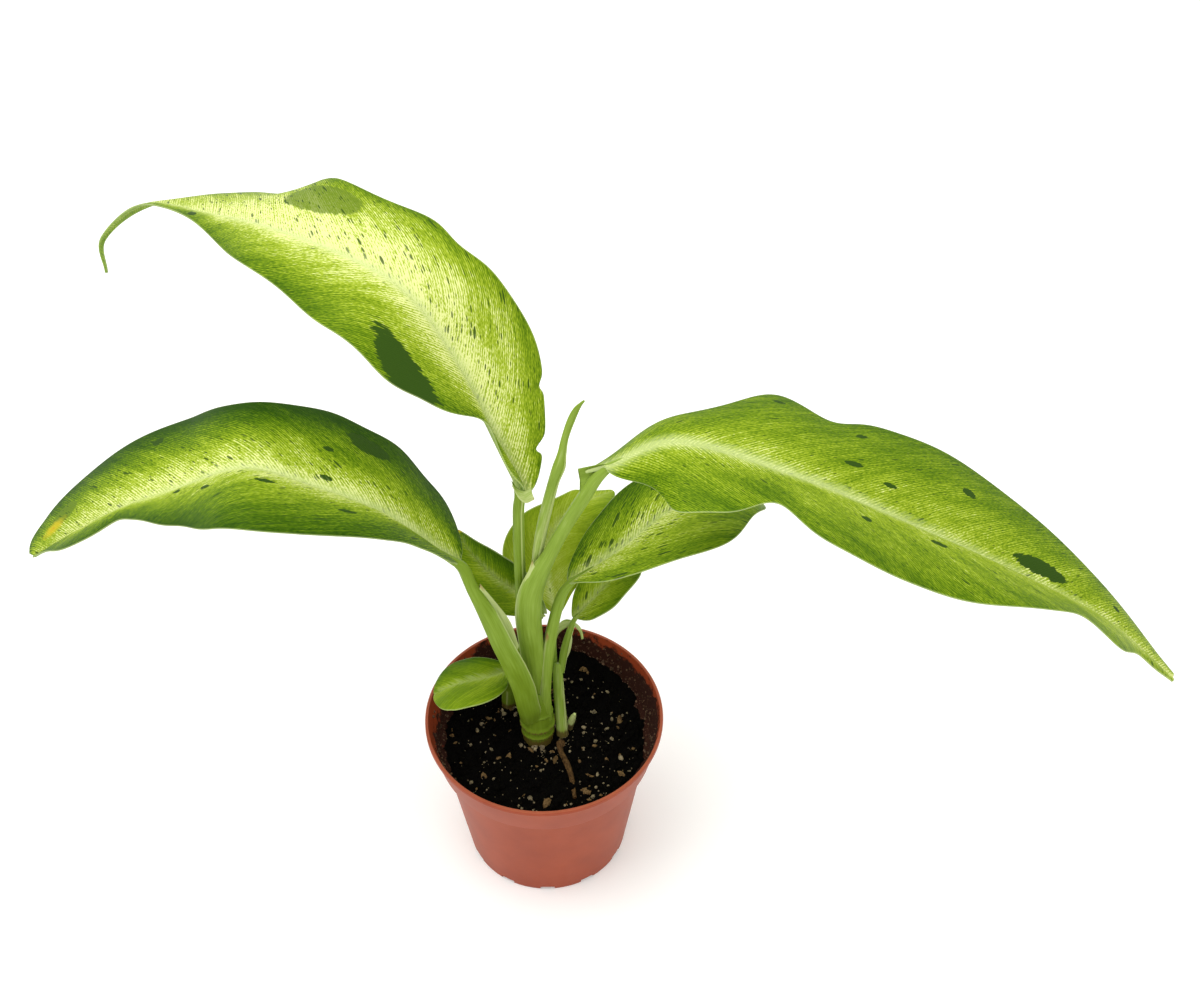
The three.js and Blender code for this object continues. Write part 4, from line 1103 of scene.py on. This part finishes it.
def pot_grid(settings):
    """The pot's outline turned about its axis. The outline runs from the middle of the foot up the
    outside, over the lip and down the inside. Where a drain slot is, what lies below its roof near
    the wall is lifted to the roof."""
    rim, height, wall = settings.rim_radius / MM, settings.height / MM, settings.wall / MM
    collar = height - POT["collar_depth"]
    bead = height - POT["bead_height"]
    reach = POT["foot"] - POT["notch_reach"]
    floor = POT["floor"] + POT["floor_rise"]
    outside = rounded([
        (POT["axis"], 0, 0), (reach - POT["notch_end"], 0, 0), (reach + POT["notch_end"], 0, 0),
        (POT["foot"], 0, 1.0), (POT["foot"] + POT["flare"], POT["notch_height"], 0),
        (POT["body_top"], collar - POT["step"], 0.5),
        (POT["collar_foot"], collar, 0.6), (rim - POT["bead_out"], bead, 0.5),
        (rim, bead + POT["bead_out"], 0.6), (rim, height, 0.7), (rim - POT["lip"] / 2, height, 0),
    ])
    inside = rounded([
        (rim - POT["lip"], height, 0.6), (rim - POT["bead_out"] - wall, bead, 0.8),
        (POT["collar_foot"] - wall, collar + wall, 0.8), (POT["body_top"] - wall, collar, 0.5),
        (POT["foot"] - wall, floor, 1.0), (reach - 1, floor, 0), (POT["axis"], POT["floor"], 0),
    ])
    outline = np.vstack([outside, inside])
    half = math.degrees(POT["notch_width"] / 2 / POT["foot"])
    starts = POT["notch_turn"] + 360 / POT["notches"] * np.arange(POT["notches"])
    side = POT["notch_side"]
    edges = np.concatenate([starts + s * half + o for s in (-1, 1) for o in (-side, side)]) % 360
    turn = np.unique(np.concatenate([np.linspace(0, 360, POT["sides"], endpoint=False), edges]))
    apart = (turn[:, None] - starts[None, :] + 180) % 360 - 180
    slot = (np.abs(apart) < half).any(1)[:, None]
    radius, z = outline[:, 0][None, :] + 0 * turn[:, None], outline[:, 1][None, :] + 0 * turn[:, None]
    outer = np.arange(len(outline))[None, :] < len(outside)
    lifted = slot & outer & (radius > reach) & (z < POT["notch_height"])
    z = np.where(lifted, POT["notch_height"], z)
    angle = np.radians(turn)[:, None]
    grid = np.stack([radius * np.cos(angle), radius * np.sin(angle), z], -1)
    # painted shade: the near-black inside the collar grows towards the back and down towards the soil,
    # where shade falls; partly it is real dried soil
    around = np.cos(angle - math.radians(60)) * 0.5 + 0.25 * np.cos(3 * angle + 1.0)
    low = smooth(height - 1.5, height - 9, z)
    dirt_and_shade = np.where(outer, -3.0, -0.1 + 0.9 * around + 1.2 * low)
    return grid.transpose(1, 0, 2)[:, ::-1], dirt_and_shade.T[:, ::-1]


def soil_height(x, y, settings):
    """Level in front and heaped behind, with low lumps and crumbly clods on top."""
    level, radius = settings.level / MM, settings.radius / MM
    back = np.maximum(0, y) / radius
    broad = np.sin(SOIL["broad_lumps"] * x + 1) * np.sin(SOIL["broad_lumps"] * y)
    fine = np.sin(SOIL["fine_lumps"] * (x - y))
    z = level + SOIL["back_rise"] * back**2 + SOIL["lump"] * (broad + fine) / 2
    for seed, (pitch, height) in enumerate(SOIL["clods"]):
        z = z + height / 2 * relief(x, y, pitch, seed + 11)
    return z


def soil_grid(settings):
    """Rings of points around the pot's axis. The height field's edge meets the collar, and below it
    the body narrows to the pot's floor."""
    rings, sides = 120, 360
    share = (np.arange(rings) + 0.3) / (rings - 0.7)
    angle = np.linspace(0, 2 * np.pi, sides, endpoint=False)[None, :]
    cos, sin, edge, gap = np.cos(angle), np.sin(angle), SOIL["edge"], SOIL["wall_gap"]
    reach = wall_radius(soil_height(edge * cos, edge * sin, settings)) - gap
    edge_z = soil_height(reach * cos, reach * sin, settings)
    radius = share[:, None] * np.minimum(reach, wall_radius(edge_z) - gap)
    x, y = radius * cos, radius * sin
    top = np.stack([x, y, soil_height(x, y, settings)], -1)
    body = [np.stack([r * cos, r * sin, z + 0 * angle], -1) for r, z in (SOIL["foot"], SOIL["skirt"])]
    return np.concatenate([*body, top[::-1]])


def crumb_shape():
    """A ball of 32 faces: an octahedron whose edges are halved once, pushed out to the sphere."""
    x, y, z = np.eye(3)
    triangles = []
    for sx in (x, -x):
        for sy in (y, -y):
            for sz in (z, -z):
                face = [sx, sy, sz] if np.dot(np.cross(sx, sy), sz) > 0 else [sx, sz, sy]
                a, b, c = face
                ab, bc, ca = unit(a + b), unit(b + c), unit(c + a)
                triangles += [(a, ab, ca), (ab, b, bc), (ca, bc, c), (ab, bc, ca)]
    corners = np.array(triangles).reshape(-1, 3)
    points, index = np.unique(np.round(corners, 6), axis=0, return_inverse=True)
    return points, index.reshape(-1, 3)


def crumbs(places, sizes, stretch, seed, flat):
    """Points and faces of copies of the ball at the places. Each has its own size, stretch along
    three axes, turn and dented corners."""
    random = np.random.default_rng(seed)
    ball, triangles = crumb_shape()
    count = len(places)
    dents = random.uniform(0.75, 1.25, (count, len(ball), 1))
    axes = random.uniform(1, stretch, (count, 1, 3))
    axes[..., 2] *= flat
    shape = ball[None] * dents * axes * sizes[:, None, None]
    q = unit(random.normal(size=(count, 4)) * np.array([1, 1, flat, flat]))
    w, x, y, z = q.T
    turns = np.stack([
        1 - 2 * (y * y + z * z), 2 * (x * y - z * w), 2 * (x * z + y * w),
        2 * (x * y + z * w), 1 - 2 * (x * x + z * z), 2 * (y * z - x * w),
        2 * (x * z - y * w), 2 * (y * z + x * w), 1 - 2 * (x * x + y * y),
    ], -1).reshape(count, 3, 3)
    shape = np.einsum("nij,nvj->nvi", turns, shape) + places[:, None]
    faces = triangles[None] + (np.arange(count) * len(ball))[:, None, None]
    return shape.reshape(-1, 3), [faces.reshape(-1, 3)]


# ------------------------------------------------------------------------------------ settings


def length_property(name, description, millimetres):
    """A length setting, given in millimetres and kept in metres."""
    return FloatProperty(
        name=name, description=description, default=millimetres * MM, subtype="DISTANCE", unit="LENGTH",
    )


def colour_property(name, description, colour):
    """A colour setting."""
    return FloatVectorProperty(
        name=name, description=description, default=colour, subtype="COLOR", size=3, min=0, max=1,
    )


def angle_property(name, description, degrees):
    """An angle setting, given in degrees."""
    return FloatProperty(
        name=name, description=description, default=math.radians(degrees), subtype="ANGLE", unit="ROTATION",
    )


class PLANT_PG_pot(bpy.types.PropertyGroup):
    """Sizes and colour of the grower pot."""

    height: length_property("Height", "From the foot to the top of the rim", POT_HIGH.z / MM)
    rim_radius: length_property("Rim radius", "Outside radius of the rolled rim", POT_HIGH.x / MM)
    wall: length_property("Wall", "Thickness of the pot's wall", 1.3)
    colour: colour_property("Plastic", "Colour of the moulded plastic", (0.285, 0.047, 0.0135))
    # painted shade: a near-black that stands partly for dried soil and partly for shade inside the collar
    dirt_and_shade: colour_property("Dirt", "Dried soil on the inside of the collar", (0.004, 0.002, 0.0007))


class PLANT_PG_soil(bpy.types.PropertyGroup):
    """Level and crumbs of the soil."""

    level: length_property("Level", "Height of the soil in the middle of the pot", 65.5)
    radius: length_property("Radius", "Radius over which the soil rises to the back wall", 43.9)
    clods: IntProperty(name="Dark clods", description="How many loose dark crumbs there are", default=1100)
    grains: IntProperty(name="Pale grains", description="How many perlite and sand grains", default=270)
    peat: colour_property("Peat", "Colour of the moist peat", (0.0012, 0.001, 0.0007))


class PLANT_PG_stalks(bpy.types.PropertyGroup):
    """Colours of stems, petioles and sheaths."""

    olive: colour_property("Olive", "Deepest green, low on the stem", (0.07, 0.105, 0.004))
    green: colour_property("Green", "Usual green", (0.15, 0.235, 0.014))
    light: colour_property("Light green", "Green of the upper sheaths", (0.235, 0.345, 0.045))
    pale: colour_property("Pale", "Free edges and shaded, bleached parts", (0.46, 0.53, 0.2))
    brown: colour_property("Brown", "Dried tip of a sheath's free edge", (0.3, 0.19, 0.06))
    gloss: FloatProperty(name="Gloss", description="Strength of the sheen", default=0.1)


class PLANT_PG_leaves(bpy.types.PropertyGroup):
    """Thickness, vein pitch and colours of the blades."""

    thickness: length_property("Thickness", "Thickness of a blade between its veins", 0.55)
    vein_pitch: FloatProperty(
        name="Vein pitch", description="Millimetres of rib between lateral veins", default=1.6,
    )
    gloss: FloatProperty(name="Gloss", description="Strength of the sheen", default=0.045)
    deep_green: colour_property("Deep green", "Darkest green at the margins", (0.02, 0.062, 0.001))
    dark_green: colour_property("Dark green", "Green near the margins", (0.07, 0.145, 0.002))
    green: colour_property("Green", "Green between margin and rib", (0.155, 0.25, 0.006))
    light_green: colour_property("Light green", "Yellowish green", (0.28, 0.38, 0.016))
    yellow: colour_property("Yellow green", "Variegation away from the rib", (0.4, 0.5, 0.06))
    cream: colour_property("Cream", "Variegation beside the rib", (0.72, 0.76, 0.3))
    rib_cream: colour_property("Rib", "Midrib and thin margin", (0.56, 0.64, 0.28))
    patch_green: colour_property("Patch", "Solid patches and dashes", (0.03, 0.07, 0.006))
    olive: colour_property("Olive", "Faint patches", (0.11, 0.18, 0.012))
    underside: colour_property("Underside", "Duller green below", (0.17, 0.27, 0.06))


class PLANT_PG_stage(bpy.types.PropertyGroup):
    """Camera, floor and light."""

    lens: FloatProperty(name="Lens", description="Focal length in millimetres", default=54.0)
    down: angle_property("Looking down", "Angle below the level", 45.2976)
    aside: angle_property("Looking aside", "Turn towards +X", 2.8713)
    back: length_property("Back", "How far in front of the pot's axis the camera stands", 491.4)
    up: length_property("Up", "Height of the camera above the floor", 714.8)
    floor_colour: colour_property("Floor", "Colour of the floor", (0.92, 0.92, 0.9))
    floor_glow: FloatProperty(name="Floor glow", description="How much the floor shines", default=0.13)
    sky: FloatProperty(name="Room light", description="Strength of the even light all round", default=1.12)
    key: FloatProperty(name="Key light", description="Power of the soft light overhead", default=10.0)


# ------------------------------------------------------------------------------------ operators


class PLANT_OT_pot(bpy.types.Operator):
    """Turn the grower pot, with its rolled rim, collar, drain slots, a painted highlight on its lip, and
    dirt deepened by painted shade inside the collar
    """

    bl_idname = "plant.pot"
    bl_label = "Grower pot"

    def execute(self, context):
        settings = context.scene.plant_pot
        grid, dirt_and_shade = pot_grid(settings)
        add_tube("pot_shell", grid, {"dirt_and_shade": dirt_and_shade}, pot_finish(settings), "pot", "pot_plastic", crease=35)
        return {"FINISHED"}


class PLANT_OT_soil(bpy.types.Operator):
    """Fill the pot with crumbly peat, pale grains, bark and the dirt that clings to the collar"""

    bl_idname = "plant.soil"
    bl_label = "Soil"

    def execute(self, context):
        settings = context.scene.plant_soil
        peat = soil_finish("peat", settings.peat, (0.006, 0.004, 0.0022), 900.0)
        add_tube("soil_surface", soil_grid(settings), {}, peat, "soil", "soil", crease=80)
        random = np.random.default_rng(SOIL["seed"])

        def on_soil(x, y):
            """Places on the soil's surface."""
            return np.stack([x, y, soil_height(x, y, settings)], -1)

        def scattered(count):
            """That many places, evenly over the soil."""
            edge = SOIL["edge"]
            reach = np.sqrt(random.uniform(0, (SOIL["crumbs_to"] / edge) ** 2, count)) * edge
            angle = random.uniform(0, 2 * np.pi, count)
            return on_soil(reach * np.cos(angle), reach * np.sin(angle))

        def sow(name, places, finish):
            """Crumbs at the places, of the sizes and looks that their kind has."""
            least, more, power, stretch, seed, flat = CRUMBS[name]
            sizes = least + more * random.uniform(0, 1, len(places)) ** power
            points, faces = crumbs(places, sizes, stretch, seed, flat)
            add_piece(name, points, faces, finish, None, crease=80)

        clod = soil_finish("peat_clods", settings.peat, (0.012, 0.008, 0.004), 1500.0)
        sow("soil_clods", scattered(settings.clods), clod)
        sand = plain_finish("pale_grains", (0.02, 0.014, 0.006), (0.36, 0.29, 0.17), 500.0)
        places = scattered(settings.grains)
        for x, y, spread, count in SOIL["clusters"]:
            x = x + spread * random.normal(size=count)
            y = y + spread * random.normal(size=count)
            places = np.vstack([places, on_soil(x, y)])
        places[:, 2] += SOIL["grain_lift"]
        sow("soil_grains", places, sand)
        bark = plain_finish("bark_crumbs", (0.05, 0.025, 0.008), (0.24, 0.15, 0.06), 1200.0)
        places = scattered(SOIL["bark"])
        places[:, 2] += SOIL["bark_lift"]
        sow("soil_bark", places, bark)
        angle = random.uniform(*np.radians(SOIL["cling_turn"]), SOIL["clinging"])
        rise = random.uniform(0, 1, SOIL["clinging"]) ** SOIL["cling_power"] * SOIL["cling_rise"]
        foot = on_soil(SOIL["cling_from"] * np.cos(angle), SOIL["cling_from"] * np.sin(angle))
        z = foot[:, 2] + rise
        radius = wall_radius(z) - SOIL["cling_gap"]
        places = np.stack([radius * np.cos(angle), radius * np.sin(angle), z], -1)
        cling = plain_finish("clinging_dirt", (0.012, 0.006, 0.003), (0.2, 0.12, 0.07), 420.0)
        sow("soil_on_wall", places, cling)
        return {"FINISHED"}


class PLANT_OT_stems(bpy.types.Operator):
    """Grow the main stem, the two side shoots, the bud stump and the root on the soil"""

    bl_idname = "plant.stems"
    bl_label = "Stems and root"

    def execute(self, context):
        finish = stalk_finish(context.scene.plant_stalks)
        root = plain_finish("root_bark", (0.02, 0.009, 0.003), (0.14, 0.075, 0.025), 700.0, 0.8, 0.0004)
        for name in ("stem_main", "shoot_right", "shoot_left", "bud_stump", "surface_root"):
            look = root if name == "surface_root" else finish
            slot = {"bud_stump": "pale_bud", "surface_root": "root"}.get(name, "stem")
            add_tube(f"{name}_dressed", *stalk_grid(name), look, name, slot)
        return {"FINISHED"}


class PLANT_OT_young(bpy.types.Operator):
    """Roll the spear leaf and the small leaf that is still curled"""

    bl_idname = "plant.young"
    bl_label = "Young leaves"

    def execute(self, context):
        finish = stalk_finish(context.scene.plant_stalks)
        for name in ("leaf_spear", "leaf_young_curled"):
            add_tube(f"{name}_rolled", *stalk_grid(name), finish, name, "young_leaf")
        return {"FINISHED"}


class PLANT_OT_leaves(bpy.types.Operator):
    """Grow every leaf: its blade with rib, veins and patches, and its petiole with the sheath"""

    bl_idname = "plant.leaves"
    bl_label = "Leaves"

    def execute(self, context):
        settings = context.scene.plant_leaves
        blade, stalk = leaf_finish(settings), stalk_finish(context.scene.plant_stalks)
        thickness = settings.thickness / MM
        for name, leaf in LEAVES.items():
            sheet = blade_grid({**PLAIN_LEAF, **leaf}, thickness)
            add_tube(f"{name}_blade", *sheet, blade, name, "leaf", crease=60)
            add_tube(f"{name}_petiole", *stalk_grid(name), stalk, name, "leaf")
        for name, flap in FLAPS.items():
            add_tube(name, *flap_grid(flap, thickness), stalk, flap["node"], "leaf")
        return {"FINISHED"}


class PLANT_OT_stage(bpy.types.Operator):
    """Lay the pale floor, light it softly and set the camera at the photograph's angle"""

    bl_idname = "plant.stage"
    bl_label = "Stage"

    def execute(self, context):
        settings, scene = context.scene.plant_stage, context.scene
        mesh = bpy.data.meshes.new("studio_floor")
        r = FLOOR_REACH
        mesh.from_pydata([(-r, -r, 0), (r, -r, 0), (r, r, 0), (-r, r, 0)], [], [(0, 1, 2, 3)])
        pale = Finish("studio_floor", 0.9, 0.1)
        pale.colour((*settings.floor_colour, 1))
        pale.shader.inputs["Emission Color"].default_value = (1, 1, 0.98, 1)
        pale.shader.inputs["Emission Strength"].default_value = settings.floor_glow
        mesh.materials.append(pale.material)
        floor = bpy.data.objects.new("studio_floor", mesh)
        scene.collection.objects.link(floor)
        world = bpy.data.worlds.new("studio")
        world.use_nodes = True
        world.node_tree.nodes["Background"].inputs["Color"].default_value = (1, 1, 1, 1)
        world.node_tree.nodes["Background"].inputs["Strength"].default_value = settings.sky
        scene.world = world
        light = bpy.data.lights.new("key", "AREA")
        light.size = 1.0
        light.energy = settings.key
        lamp = bpy.data.objects.new("key", light)
        lamp.location = KEY_PLACE
        toward = Vector(KEY_AIM) - Vector(KEY_PLACE)
        lamp.rotation_euler = toward.to_track_quat("-Z", "Y").to_euler()
        scene.collection.objects.link(lamp)
        lens = bpy.data.cameras.new("photo_angle")
        lens.lens = settings.lens
        lens.sensor_width = 36
        lens.clip_start = 0.01
        camera = bpy.data.objects.new("photo_angle", lens)
        camera.location = (0, -settings.back, settings.up)
        camera.rotation_euler = (math.pi / 2 - settings.down, 0, -settings.aside)
        scene.collection.objects.link(camera)
        scene.camera = camera
        scene.view_settings.view_transform = "Standard"
        return {"FINISHED"}


OPERATORS = (
    PLANT_OT_pot, PLANT_OT_soil, PLANT_OT_stems, PLANT_OT_young, PLANT_OT_leaves, PLANT_OT_stage,
)
GROUPS = {
    "plant_pot": PLANT_PG_pot, "plant_soil": PLANT_PG_soil, "plant_stalks": PLANT_PG_stalks,
    "plant_leaves": PLANT_PG_leaves, "plant_stage": PLANT_PG_stage,
}


class PLANT_PT_panel(bpy.types.Panel):
    """Lists the plant's settings and the steps that build it"""

    bl_idname = "PLANT_PT_panel"
    bl_label = "Potted dieffenbachia"
    bl_space_type = "VIEW_3D"
    bl_region_type = "UI"
    bl_category = "Plant"

    def draw(self, context):
        for key, group in GROUPS.items():
            box = self.layout.box()
            for field in group.__annotations__:
                box.prop(getattr(context.scene, key), field)
        for operator in OPERATORS:
            self.layout.operator(operator.bl_idname)


CLASSES = (*GROUPS.values(), *OPERATORS, PLANT_PT_panel)


def register():
    """Adds the classes to Blender and the settings to its scenes."""
    for made in CLASSES:
        bpy.utils.register_class(made)
    for key, group in GROUPS.items():
        setattr(bpy.types.Scene, key, PointerProperty(type=group))


def unregister():
    """Takes the settings and classes away again."""
    for key in GROUPS:
        delattr(bpy.types.Scene, key)
    for made in reversed(CLASSES):
        bpy.utils.unregister_class(made)


def main():
    """Runs every step in order."""
    register()
    for operator in OPERATORS:
        group, name = operator.bl_idname.split(".")
        getattr(getattr(bpy.ops, group), name)()


if __name__ == "__main__":
    main()
